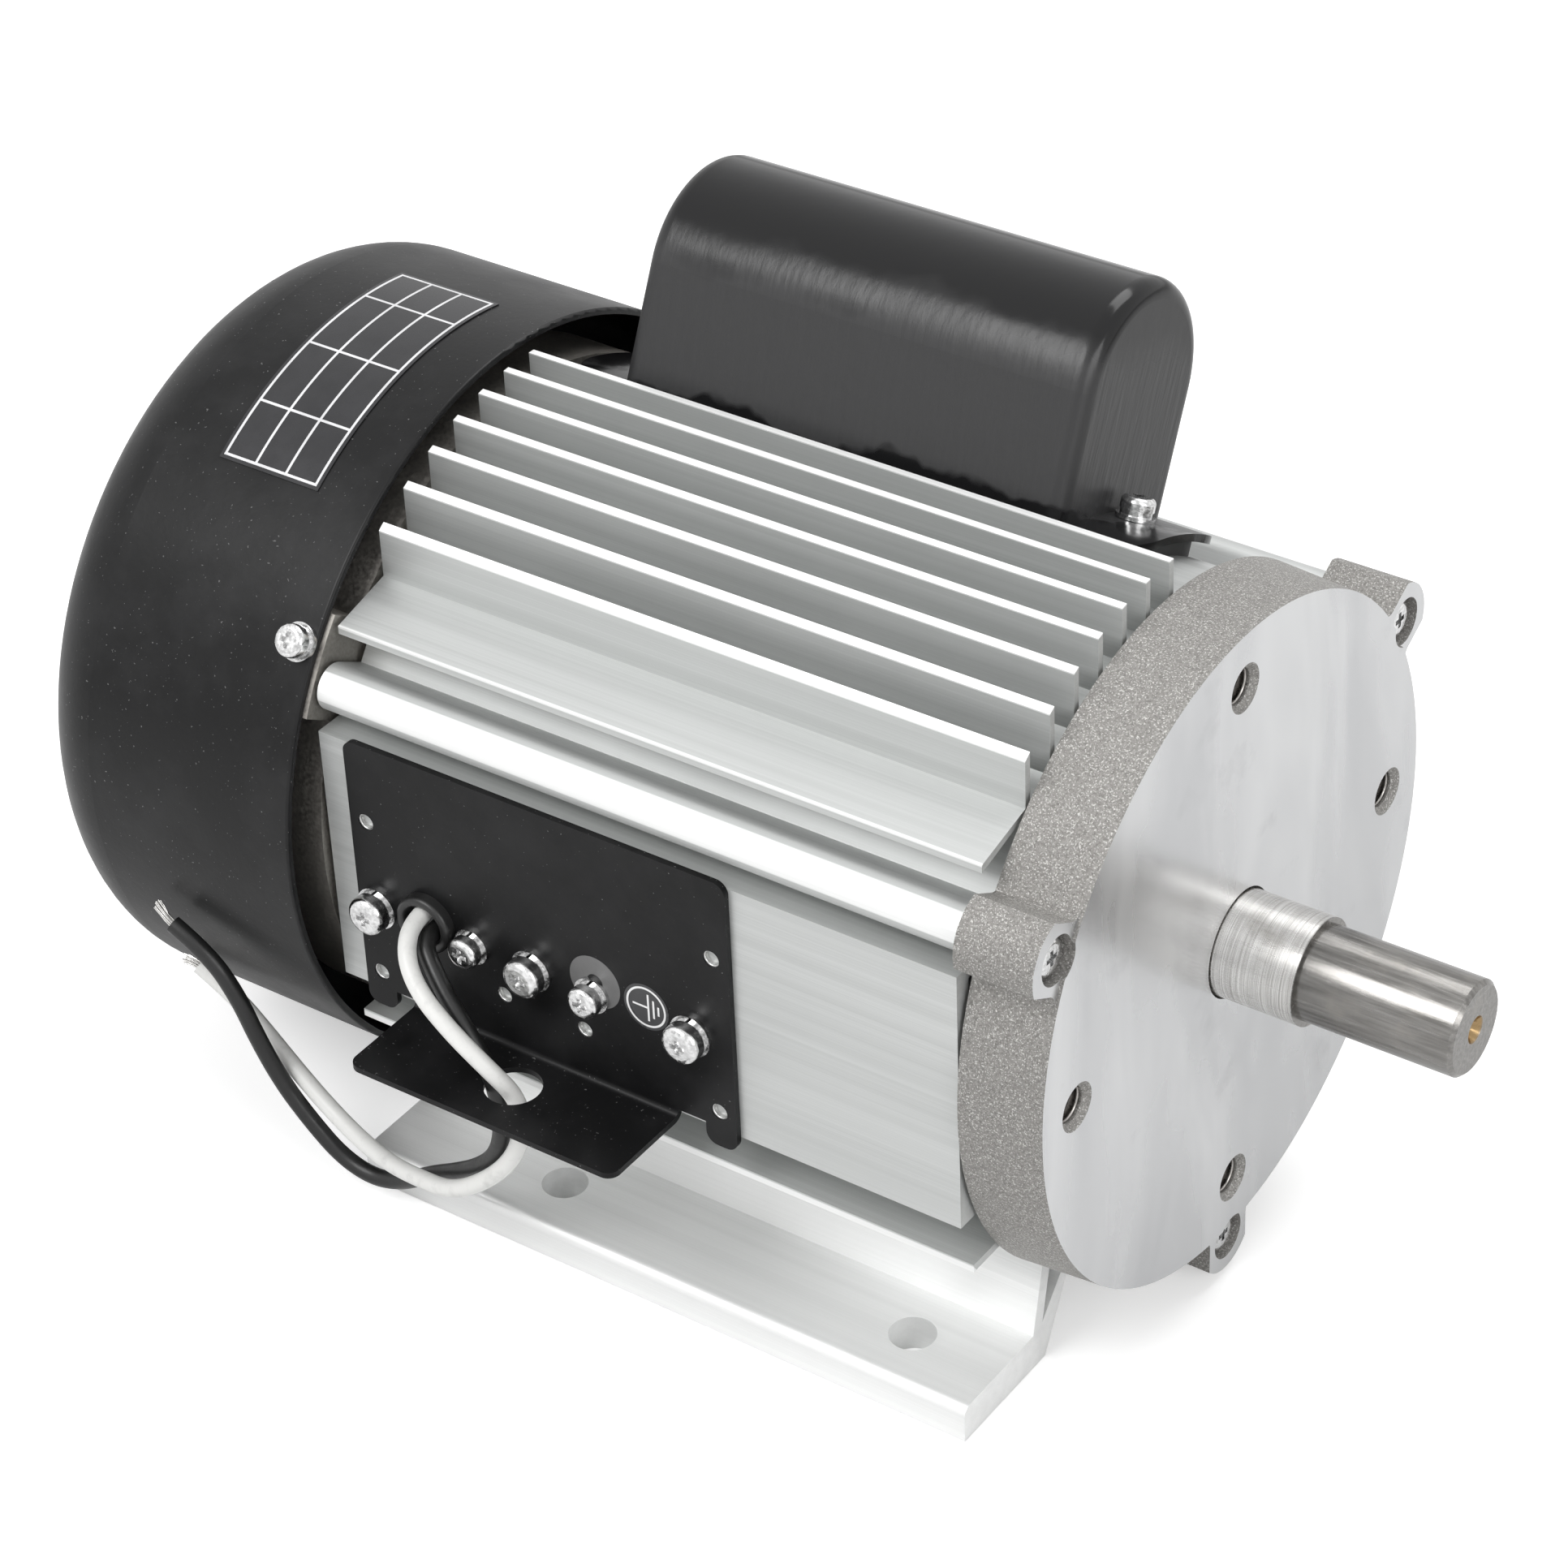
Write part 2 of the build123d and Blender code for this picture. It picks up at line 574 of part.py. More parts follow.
def rear_end_bell():
    spigot = BORE_RADIUS - SPIGOT_CLEARANCE
    inner = spigot - SPIGOT_WALL
    web_front = BELL_BACK + BELL_WEB
    bell = tube(web_front, FRAME_REAR + SPIGOT_LENGTH, spigot, inner)
    bell += tube(web_front, FRAME_REAR, BORE_RADIUS + SHOULDER_WALL, inner)
    bell += tube(BELL_BACK, BELL_FRONT, BELL_RING_RADIUS, inner)
    bell += tube(BELL_BACK, web_front, inner)
    hub_front = REAR_BEARING_FRONT
    seat_rear = REAR_BEARING_FRONT - REAR_BEARING[2] - WAVE_WASHER_THICKNESS
    bell += tube(seat_rear - BELL_BACK_WALL, hub_front, BELL_HUB_RADIUS)
    ear_top = COVER_RADIUS - COVER_WALL - COVER_FIT
    ear_rear = BELL_FRONT - BELL_EAR_THICKNESS
    for angle in BOLT_ANGLES:
        sketch = arm(angle - BELL_EAR_SHIFT, inner + 1, ear_top + 5, BELL_EAR_WIDTH)
        bell += along(ear_rear, BELL_FRONT, sketch & Circle(ear_top))
    for angle in COVER_SCREW_ANGLES:
        sketch = arm(angle, inner + 1, ear_top + 5, BELL_BOSS_WIDTH)
        bell += along(ear_rear, BELL_FRONT, sketch & Circle(ear_top))
    for angle in BOARD_POST_ANGLES:
        post = Pos(polar(angle, BOARD_POST_CIRCLE)) * Circle(BOARD_POST_RADIUS)
        bell += along(web_front - 1, BOARD_FRONT - BOARD_THICKNESS, post)
        core = Pos(polar(angle, BOARD_POST_CIRCLE)) * Circle(SMALL_SCREW["thread"] + THREAD_CLEARANCE)
        bell -= along(web_front, BOARD_FRONT, core)
    bell -= tube(seat_rear, hub_front, REAR_BEARING[1] + SEAT_CLEARANCE)
    bell -= tube(seat_rear - BELL_BACK_WALL, seat_rear, REAR_BEARING[0] + SHAFT_HOLE_CLEARANCE)
    for angle in BOLT_ANGLES:
        hole = Pos(polar(angle, BOLT_CIRCLE_RADIUS)) * Circle(BOLT_RADIUS + THREAD_CLEARANCE)
        bell -= along(BOLT_END - HOLE_CLEARANCE, BELL_FRONT, hole)
    for plane in cover_screw_planes():
        core_depth = COVER_SCREW_LENGTH + COVER_WALL + HOLE_CLEARANCE
        bell = drill(bell, plane, SMALL_SCREW["thread"] + THREAD_CLEARANCE, -core_depth, 1)
    return bell


def cross_recess(plane, top):
    """Cross-shaped driver recess in a screw head whose top is at the given height."""
    cross = Rectangle(RECESS_SPAN, RECESS_WIDTH) + Rectangle(RECESS_WIDTH, RECESS_SPAN)
    return extrude(plane.offset(top - RECESS_DEPTH) * cross, amount=RECESS_DEPTH)


def pan_screw(plane, head, height, thread, length, seat=0.0):
    """Pan head screw whose head sits at the height seat and whose thread runs length deeper."""
    cap = rod(plane, head, seat, seat + height)
    rim = cap.edges().filter_by(GeomType.CIRCLE).sort_by(Axis(plane.origin, plane.z_dir))[-1]
    cap = fillet(rim, height * 0.45)
    cap -= cross_recess(plane, seat + height)
    return cap + rod(plane, thread, seat - length, seat)


def spring_washer(plane, outer, inner, seat):
    washer = extrude(plane.offset(seat) * annulus(inner, outer), amount=SPRING_WASHER_THICKNESS)
    split = Pos(0, (inner + outer) / 2) * Rectangle(WASHER_SPLIT, 2 * (outer - inner))
    return washer - extrude(plane.offset(seat) * split, amount=SPRING_WASHER_THICKNESS)


def flat_washer(plane, outer, inner, seat):
    return extrude(plane.offset(seat) * annulus(inner, outer), amount=FLAT_WASHER_THICKNESS)


def screw_stack(planes, size, length):
    """Screws, spring washers and flat washers on a list of seat planes."""
    hole = size["thread"] + HOLE_CLEARANCE
    head_seat = FLAT_WASHER_THICKNESS + SPRING_WASHER_THICKNESS
    screws = []
    springs = []
    flats = []
    for plane in planes:
        reach = head_seat + length
        screws.append(pan_screw(plane, size["head"], size["height"], size["thread"], reach, head_seat))
        springs.append(spring_washer(plane, size["spring"], hole, FLAT_WASHER_THICKNESS))
        flats.append(flat_washer(plane, size["flat"], hole, 0))
    return screws, springs, flats


def through_bolts():
    bolts = []
    floor = EAR_FACE - COUNTERBORE_DEPTH
    for angle in BOLT_ANGLES:
        plane = bolt_plane(floor, angle)
        bolts.append(pan_screw(plane, BOLT_HEAD_RADIUS, BOLT_HEAD_HEIGHT, BOLT_RADIUS, floor - BOLT_END))
    return bolts


def bolt_plane(x, angle):
    y, z = polar(angle, BOLT_CIRCLE_RADIUS)
    return Plane(origin=(x, y, SHAFT_HEIGHT + z), x_dir=(0, 1, 0), z_dir=(1, 0, 0))


def bearing(front, size):
    """Inner race, outer race and balls of a deep groove ball bearing."""
    bore, outer, width, ball, count = size
    rear = front - width
    pitch = (bore + outer) / 2
    groove = Plane(origin=(front - width / 2, 0, SHAFT_HEIGHT), z_dir=(1, 0, 0))
    groove = groove * Torus(pitch, ball + BALL_CLEARANCE)
    shoulder = ball * RACE_SHARE
    inner_race = tube(rear, front, pitch - shoulder, bore + SEAT_CLEARANCE) - groove
    outer_race = tube(rear, front, outer, pitch + shoulder) - groove
    balls = []
    for index in range(count):
        y, z = polar(index * 360 / count, pitch)
        balls.append(Pos(front - width / 2, y, SHAFT_HEIGHT + z) * Sphere(ball))
    return inner_race, outer_race, balls


def stator_slots(inner, outer, width):
    bars = Sketch()
    for index in range(SLOT_COUNT):
        bars += arm((index + 0.5) * 360 / SLOT_COUNT, inner, outer, width)
    return bars


def stator_core():
    laminations = annulus(CORE_BORE, BORE_RADIUS - SPIGOT_CLEARANCE)
    laminations -= stator_slots(SLOT_INNER, SLOT_OUTER, SLOT_WIDTH)
    laminations -= stator_slots(CORE_BORE - 1, SLOT_INNER + 1, SLOT_MOUTH)
    return along(-CORE_LENGTH / 2, CORE_LENGTH / 2, laminations)


def winding(inner, outer, ring_outer, overhang):
    """Coils in the slots, joined by the end turns on both ends."""
    bars = stator_slots(inner + WIRE_GAP, outer - WIRE_GAP, SLOT_WIDTH - 2 * WIRE_GAP)
    end = CORE_LENGTH / 2 + WIRE_GAP
    coils = along(-end - 1, end + 1, bars)
    ring_inner = inner + WIRE_GAP + RING_STEP
    coils += tube(end, end + overhang, ring_outer, ring_inner)
    coils += tube(-end - overhang, -end, ring_outer, ring_inner)
    return coils


def rotor_core():
    sheet = annulus(SHAFT_CORE_RADIUS + SEAT_CLEARANCE, CORE_BORE - AIR_GAP)
    sheet -= PolarLocations(BAR_CIRCLE, BAR_COUNT) * Circle(BAR_RADIUS)
    return along(-CORE_LENGTH / 2, CORE_LENGTH / 2, sheet)


def rotor_cage():
    half = CORE_LENGTH / 2
    cage = along(-half - 1, half + 1, Sketch() + PolarLocations(BAR_CIRCLE, BAR_COUNT) * Circle(BAR_RADIUS))
    ring_outer = BAR_CIRCLE + BAR_RADIUS + END_RING_LIP
    cage += tube(half, half + END_RING_LENGTH, ring_outer, END_RING_INNER)
    cage += tube(-half - END_RING_LENGTH, -half, ring_outer, END_RING_INNER)
    return cage


def shaft():
    collar_front = FLANGE_FACE + COLLAR_LENGTH
    front_seat = FLANGE_FACE - FRONT_WEB - FRONT_BEARING[2]
    end = collar_front + OUTPUT_LENGTH
    disc_rear = GOVERNOR_DISC_FRONT
    body = tube(disc_rear, front_seat, SHAFT_CORE_RADIUS)
    body += tube(front_seat, collar_front, FRONT_BEARING[0])
    output = tube(collar_front, end, OUTPUT_RADIUS)
    rim = output.edges().filter_by(GeomType.CIRCLE).sort_by(Axis.X)[-1]
    body += chamfer(rim, SHAFT_CHAMFER)
    body += tube(REAR_BEARING_FRONT, disc_rear, GOVERNOR_SHAFT_RADIUS)
    body += tube(FAN_FRONT, REAR_BEARING_FRONT, REAR_BEARING[0])
    body += tube(SHAFT_REAR, FAN_FRONT, FAN_SEAT_RADIUS)
    clip_rear = FAN_FRONT - FAN_LENGTH - CLIP_THICKNESS
    body -= tube(clip_rear, FAN_FRONT - FAN_LENGTH, FAN_SEAT_RADIUS + 1, FAN_SEAT_RADIUS - CLIP_DEPTH)
    drill_cone = Cone(
        CENTRE_DRILL_RADIUS * 0.3,
        CENTRE_DRILL_RADIUS,
        CENTRE_DRILL_RADIUS * 1.3,
        align=(Align.CENTER, Align.CENTER, Align.MAX),
    )
    return body - section(end) * drill_cone


def fan_retaining_clip():
    front = FAN_FRONT - FAN_LENGTH
    ring = annulus(FAN_SEAT_RADIUS - CLIP_DEPTH, FAN_SEAT_RADIUS + CLIP_RISE)
    gap = Pos(0, FAN_SEAT_RADIUS) * Rectangle(FAN_SEAT_RADIUS * 0.8, FAN_SEAT_RADIUS)
    return along(front - CLIP_THICKNESS, front, ring - gap)


def cooling_fan():
    rear = FAN_FRONT - FAN_LENGTH
    fan = tube(rear, FAN_FRONT, FAN_HUB_RADIUS, FAN_SEAT_RADIUS + SEAT_CLEARANCE)
    fan += tube(FAN_FRONT - FAN_PLATE, FAN_FRONT, FAN_RADIUS, FAN_HUB_RADIUS - 1)
    blades = Sketch()
    for index in range(FAN_BLADES):
        blades += arm(index * 360 / FAN_BLADES, FAN_BLADE_INNER, FAN_BLADE_TIP, FAN_BLADE_THICKNESS)
    return fan + along(rear + FAN_BLADE_STEP, FAN_FRONT - FAN_PLATE / 2, blades)


def fan_cover():
    def shell(radius, rear, corner):
        blank = tube(rear, COVER_RIM, radius)
        back = blank.edges().filter_by(GeomType.CIRCLE).sort_by(Axis.X)[0]
        return fillet(back, corner)

    outer = shell(COVER_RADIUS, COVER_REAR, COVER_CORNER)
    rim = outer.edges().filter_by(GeomType.CIRCLE).sort_by(Axis.X)[-1]
    outer = fillet(rim, COVER_RIM_ROUND)
    cover = outer - shell(COVER_RADIUS - COVER_WALL, COVER_REAR + COVER_WALL, COVER_CORNER - COVER_WALL)
    vents = Sketch()
    for radius in VENT_RADII:
        vents += annulus(radius - VENT_WIDTH / 2, radius + VENT_WIDTH / 2)
    for index in range(VENT_SPOKES):
        bar = Rectangle(2 * COVER_RADIUS, VENT_SPOKE_WIDTH)
        vents -= Rot(0, 0, index * 180 / VENT_SPOKES) * bar
    cover -= along(COVER_REAR - 1, COVER_REAR + 2 * COVER_WALL, vents)
    for plane in cover_screw_planes():
        cover = drill(cover, plane, SMALL_SCREW["thread"] + HOLE_CLEARANCE, -2 * COVER_WALL, 1)
    return cover


def cover_screw_planes():
    return [radial(COVER_SCREW_X, angle, COVER_RADIUS) for angle in COVER_SCREW_ANGLES]


def rating_label():
    start = polar(LABEL_START_ANGLE, FAR)
    middle = polar((LABEL_START_ANGLE + LABEL_END_ANGLE) / 2, FAR)
    end = polar(LABEL_END_ANGLE, FAR)
    wedge = Polygon((0, 0), start, middle, end, align=None)
    label_seat = COVER_RADIUS + LABEL_GLUE
    label_ring = annulus(label_seat, label_seat + LABEL_THICKNESS)
    return along(LABEL_REAR, LABEL_FRONT, label_ring & wedge)


def plate_hole_places():
    half_x = COVER_HOLE_SPACING_X / 2
    half_z = COVER_HOLE_SPACING_Z / 2
    corners = [
        (COVER_HOLE_X + sx * half_x, COVER_HOLE_ROW + sz * half_z) for sx in (-1, 1) for sz in (-1, 1)
    ]
    return corners + list(TAPPED_HOLES)


def terminal_plate():
    bend_row = SHELF_TOP + SHELF_BEND
    middle = (PLATE_REAR + PLATE_FRONT) / 2
    width = PLATE_FRONT - PLATE_REAR
    height = PLATE_TOP - bend_row
    sheet = Pos(middle, bend_row + height / 2) * RectangleRounded(width, height, PLATE_ROUND)
    for edge in (PLATE_REAR + TAB_WIDTH / 2, PLATE_FRONT - TAB_WIDTH / 2):
        tab_height = bend_row - TAB_BOTTOM + 2 * PLATE_ROUND
        tab = RectangleRounded(TAB_WIDTH, tab_height, PLATE_ROUND)
        sheet += Pos(edge, TAB_BOTTOM + tab_height / 2) * tab
    plate = extrude(side(0, 0) * sheet, amount=PLATE_THICKNESS)
    outer_bend = SHELF_BEND + PLATE_THICKNESS
    bend_y = -(FLAT_Y + outer_bend)
    quarter = annulus(SHELF_BEND, outer_bend) & (Pos(FAR / 2, -FAR / 2) * Rectangle(FAR, FAR))
    shelf_span = SHELF_FRONT - SHELF_REAR
    plate += extrude(section(SHELF_REAR) * Pos(bend_y, bend_row) * quarter, amount=shelf_span)
    shelf_depth = bend_y - SHELF_Y
    shelf = Pos((SHELF_REAR + SHELF_FRONT) / 2, (bend_y + SHELF_Y) / 2) * Rectangle(shelf_span, shelf_depth)
    outer_corners = shelf.vertices().sort_by(Axis.Y)[:2]
    shelf = fillet(outer_corners, PLATE_ROUND)
    shelf -= Pos(LEAD_HOLE_X, LEAD_HOLE_Y) * Circle(LEAD_HOLE_RADIUS)
    shelf_bottom = SHAFT_HEIGHT + SHELF_TOP - PLATE_THICKNESS
    plate += extrude(Plane.XY.offset(shelf_bottom) * shelf, amount=PLATE_THICKNESS)
    for x in PLATE_SCREW_X:
        plate = drill(plate, side(x, SCREW_ROW), LARGE_SCREW["thread"] + HOLE_CLEARANCE, -1, 3)
    for x in TERMINAL_SCREW_X:
        plate = drill(plate, side(x, SCREW_ROW), SMALL_SCREW["thread"] + HOLE_CLEARANCE, -1, 3)
    for x, height in plate_hole_places():
        plate = drill(plate, side(x, height), TAP_RADIUS, -1, 3)
    return drill(plate, side(GROMMET_X, GROMMET_ROW), GROMMET_RADIUS, -1, 3)


def lead_grommet():
    plane = side(GROMMET_X, GROMMET_ROW)
    top = PLATE_THICKNESS + GROMMET_PROUD
    bottom = -(FLAT_Y - BORE_RADIUS + GROMMET_BACK)
    ring = rod(plane, GROMMET_FLANGE, PLATE_THICKNESS, top) - rod(plane, GROMMET_BORE, PLATE_THICKNESS, top)
    lips = ring.edges().filter_by(GeomType.CIRCLE).sort_by(Axis.Y)[:2]
    ring = fillet(lips, GROMMET_ROUND)
    neck = rod(plane, GROMMET_RADIUS - THREAD_CLEARANCE, bottom, PLATE_THICKNESS)
    return ring + neck - rod(plane, GROMMET_BORE, PLATE_THICKNESS - GROMMET_RECESS, PLATE_THICKNESS)


def corner_radii(points, name):
    """Largest arcs that the runs beside each corner leave room for."""
    runs = [Vector(*b) - Vector(*a) for a, b in zip(points, points[1:])]
    radii = []
    for before, after in zip(runs, runs[1:]):
        turn = radians(before.get_angle(after))
        radii.append(0.45 * min(before.length, after.length) / tan(turn / 2))
    print(name, "radii", [round(radius, 1) for radius in radii])
    return radii


def lead(points, name):
    path = FilletPolyline(*points, radius=corner_radii(points, name))
    start = Plane(origin=path @ 0, z_dir=path % 0)
    solid = sweep(start * Circle(LEAD_RADIUS), path=path)
    share = solid.volume / (path.length * LEAD_RADIUS ** 2 * radians(180))
    print(name, "length", round(path.length, 1), "volume share", round(share, 4))
    end = Plane(origin=path @ 1, z_dir=path % 1)
    return solid, end


def strands(end, length):
    """Stripped end: seven strands round a core, joined where they lie together."""
    strand = STRAND_DIAMETER / 6
    bundle = Sketch() + Circle(strand)
    bundle += PolarLocations(1.9 * strand, 6) * Circle(strand)
    return extrude(end * bundle, amount=length)


def capacitor_plane(x):
    """Cross-section of the capacitor: its own y points away from the shaft line."""
    y = cos(radians(CAP_ANGLE))
    z = sin(radians(CAP_ANGLE))
    return Plane(origin=(x, 0, SHAFT_HEIGHT), x_dir=(0, z, -y), z_dir=(1, 0, 0))


def capacitor_screw_planes(radius):
    places = (CAP_REAR - CAP_SCREW_REACH, CAP_FRONT + CAP_SCREW_REACH)
    return [radial(x, CAP_ANGLE, radius) for x in places]


def arch(half_width, top):
    """Upright sides under a half-round top, from the shaft line up."""
    centre = top - half_width
    return Pos(0, centre / 2) * Rectangle(2 * half_width, centre) + Pos(0, centre) * Circle(half_width)


def arched_block(rear, front, half_width, top, corner):
    block = extrude(capacitor_plane(rear) * arch(half_width, top), amount=front - rear)
    bottom = Axis((0, 0, SHAFT_HEIGHT), (0, cos(radians(CAP_ANGLE)), sin(radians(CAP_ANGLE))))
    rims = ShapeList()
    for place in (rear, front):
        for edge in block.edges():
            spot = edge.center()
            height = (spot - Vector(0, 0, SHAFT_HEIGHT)).dot(bottom.direction)
            if abs(spot.X - place) < 0.01 and height > 1:
                rims.append(edge)
    return fillet(rims, corner)


def capacitor_plan(inset):
    """Outline of the cover's foot, seen from outside the frame, as a tall prism."""
    middle = (CAP_REAR + CAP_FRONT) / 2
    length = CAP_LENGTH + 2 * CAP_TAB - 2 * inset
    outline = RectangleRounded(length, CAP_WIDTH - 2 * inset, CAP_TAB_ROUND)
    return extrude(radial(middle, CAP_ANGLE, 0) * outline, amount=CAP_TOP)


def capacitor_cover():
    half = CAP_WIDTH / 2
    seat = CAP_SHEET_SEAT
    block = arched_block(CAP_REAR, CAP_FRONT, half, CAP_TOP, CAP_ROUND)
    inside = arched_block(
        CAP_REAR + CAP_WALL, CAP_FRONT - CAP_WALL, half - CAP_WALL, CAP_TOP - CAP_WALL, CAP_ROUND - CAP_WALL
    )
    sheet = tube(CAP_REAR - CAP_TAB, CAP_FRONT + CAP_TAB, CAP_SHEET_RADIUS, seat)
    sheet = sheet & capacitor_plan(0)
    cover = block + sheet - tube(CAP_REAR - CAP_TAB, CAP_FRONT + CAP_TAB, seat) - inside
    for plane in capacitor_screw_planes(CAP_SHEET_RADIUS):
        cover = drill(cover, plane, SMALL_SCREW["thread"] + HOLE_CLEARANCE, -2 * CAP_SHEET, 1)
    return cover


def capacitor_gasket():
    top = CAP_SHEET_SEAT - SEAT_CLEARANCE
    pad = tube(CAP_REAR - CAP_TAB, CAP_FRONT + CAP_TAB, top, BODY_RADIUS + SEAT_CLEARANCE)
    pad = pad & capacitor_plan(GASKET_INSET)
    for plane in capacitor_screw_planes(CAP_SHEET_RADIUS):
        pad = drill(pad, plane, SMALL_SCREW["thread"] + HOLE_CLEARANCE, -2 * GASKET_THICKNESS, 1)
    return pad


def start_capacitor():
    middle = (CAP_REAR + CAP_FRONT) / 2
    rear = capacitor_plane(middle - CAN_LENGTH / 2)
    can = extrude(rear * Pos(0, CAN_AXIS) * Circle(CAN_RADIUS), amount=CAN_LENGTH)
    return fillet(can.edges().filter_by(GeomType.CIRCLE), CAN_ROUND)


def capacitor_terminals():
    middle = (CAP_REAR + CAP_FRONT) / 2
    rear = capacitor_plane(middle - CAN_LENGTH / 2 - TERMINAL_LENGTH)
    blade = Rectangle(TERMINAL_THICKNESS, TERMINAL_WIDTH)
    tabs = []
    for offset in (-TERMINAL_SPACING / 2, TERMINAL_SPACING / 2):
        tabs.append(extrude(rear * Pos(offset, CAN_AXIS) * blade, amount=TERMINAL_LENGTH))
    return tabs


def governor_base():
    disc_rear = GOVERNOR_DISC_FRONT - GOVERNOR_DISC_THICKNESS
    base = tube(disc_rear, GOVERNOR_DISC_FRONT, GOVERNOR_DISC_RADIUS, GOVERNOR_SHAFT_RADIUS + SEAT_CLEARANCE)
    lug_rear = PIVOT_X - LUG_REACH
    lug_length = disc_rear + 1 - lug_rear
    for sign in (-1, 1):
        for hand in (-1, 1):
            lug = Box(lug_length, LUG_THICKNESS, 2 * LUG_HALF_HEIGHT)
            y = hand * (LUG_INNER_Y + LUG_THICKNESS / 2)
            z = SHAFT_HEIGHT + sign * PIVOT_RADIUS
            base += Pos(lug_rear + lug_length / 2, y, z) * lug
        hole = Rot(90, 0, 0) * Cylinder(PIN_RADIUS + SEAT_CLEARANCE, 4 * LUG_INNER_Y)
        base -= Pos(PIVOT_X, 0, SHAFT_HEIGHT + sign * PIVOT_RADIUS) * hole
    return base


def governor_pins():
    pins = []
    length = 2 * (LUG_INNER_Y + LUG_THICKNESS) + 1
    for sign in (-1, 1):
        pin = Rot(90, 0, 0) * Cylinder(PIN_RADIUS, length)
        pins.append(Pos(PIVOT_X, 0, SHAFT_HEIGHT + sign * PIVOT_RADIUS) * pin)
    return pins


def flyweight(sign):
    """Weight above (1) or below (-1) the shaft, with the finger that pulls the collar."""
    width = 2 * (LUG_INNER_Y - WEIGHT_CLEARANCE)
    front = GOVERNOR_DISC_FRONT - GOVERNOR_DISC_THICKNESS - WEIGHT_END_GAP
    length = front - PIVOT_X
    height = WEIGHT_TOP - WEIGHT_BOTTOM
    block = Pos(PIVOT_X + length / 2, 0, (WEIGHT_TOP + WEIGHT_BOTTOM) / 2) * Box(length, width, height)
    eye = Rot(90, 0, 0) * Cylinder(WEIGHT_EYE_RADIUS, width)
    block += Pos(PIVOT_X, 0, PIVOT_RADIUS) * eye
    finger = Box(FINGER_THICKNESS, FINGER_WIDTH, FINGER_LENGTH)
    block += Pos(PIVOT_X, 0, PIVOT_RADIUS - FINGER_LENGTH / 2) * finger
    hole = Rot(90, 0, 0) * Cylinder(PIN_RADIUS + PIN_CLEARANCE, 2 * width)
    block -= Pos(PIVOT_X, 0, PIVOT_RADIUS) * hole
    if sign < 0:
        block = mirror(block, about=Plane.XY)
    return Pos(0, 0, SHAFT_HEIGHT) * block


def governor_collar():
    bore = GOVERNOR_SHAFT_RADIUS + COLLAR_BORE_CLEARANCE
    half = GROOVE_WIDTH / 2 + COLLAR_RIM
    collar = tube(PUSH_RING_REAR, PIVOT_X + half, GROOVE_RADIUS, bore)
    collar += tube(PIVOT_X - half, PIVOT_X - GROOVE_WIDTH / 2, COLLAR_RADIUS, bore)
    collar += tube(PIVOT_X + GROOVE_WIDTH / 2, PIVOT_X + half, COLLAR_RADIUS, bore)
    return collar + tube(PUSH_RING_REAR, PUSH_RING_REAR + PUSH_RING_THICKNESS, PUSH_RING_RADIUS, bore)


def governor_spring():
    """Spring pressed solid: a sleeve seated on the disc, just short of the collar's travel."""
    front = GOVERNOR_DISC_FRONT - GOVERNOR_DISC_THICKNESS
    rear = PIVOT_X + GROOVE_WIDTH / 2 + COLLAR_RIM + COLLAR_TRAVEL + SPRING_GAP
    inner = GOVERNOR_SHAFT_RADIUS + SPRING_GAP
    return tube(rear, front, inner + SPRING_WIRE, inner)


def switch_board():
    rear = BOARD_FRONT - BOARD_THICKNESS
    board = tube(rear, BOARD_FRONT, BOARD_OUTER, BOARD_INNER)
    lug_z = ARM_BARREL_LENGTH / 2 + BOARD_LUG_GAP + BOARD_LUG_THICKNESS / 2
    depth = ARM_X + ARM_BARREL_RADIUS - BOARD_FRONT
    for sign in (-1, 1):
        lug = Box(depth + 1, 2 * ARM_BARREL_RADIUS, BOARD_LUG_THICKNESS)
        x = BOARD_FRONT - 1 + (depth + 1) / 2
        board += Pos(x, ARM_PIVOT_Y, SHAFT_HEIGHT + sign * lug_z) * lug
    pin_hole = Cylinder(ARM_PIN_RADIUS + SEAT_CLEARANCE, ARM_BARREL_LENGTH + 20)
    board -= Pos(ARM_X, ARM_PIVOT_Y, SHAFT_HEIGHT) * pin_hole
    for angle in BOARD_POST_ANGLES:
        hole = Pos(polar(angle, BOARD_POST_CIRCLE)) * Circle(SMALL_SCREW["thread"] + HOLE_CLEARANCE)
        board -= along(rear, BOARD_FRONT, hole)
    return board


def switch_board_screws():
    screws = []
    for angle in BOARD_POST_ANGLES:
        y, z = polar(angle, BOARD_POST_CIRCLE)
        plane = Plane(origin=(BOARD_FRONT, y, SHAFT_HEIGHT + z), x_dir=(0, 1, 0), z_dir=(1, 0, 0))
        size = SMALL_SCREW
        reach = BOARD_THICKNESS + BOARD_SCREW_BITE
        screws.append(pan_screw(plane, size["head"], BOARD_SCREW_HEAD, size["thread"], reach))
    return screws


def contact_place():
    reach = ARM_REACH - CONTACT_INSET
    return (ARM_PIVOT_Y - reach, ARM_PRONG_OUTER + ARM_TIP_STEP + ARM_TIP_WIDTH / 2)


def fixed_contact():
    spot = Pos(contact_place()) * Circle(CONTACT_RADIUS)
    return along(BOARD_FRONT, BOARD_FRONT + CONTACT_HEIGHT, spot)


def contact_arm_pin():
    pin = Cylinder(ARM_PIN_RADIUS, ARM_BARREL_LENGTH + 2 * (BOARD_LUG_GAP + BOARD_LUG_THICKNESS))
    return Pos(ARM_X, ARM_PIVOT_Y, SHAFT_HEIGHT) * pin


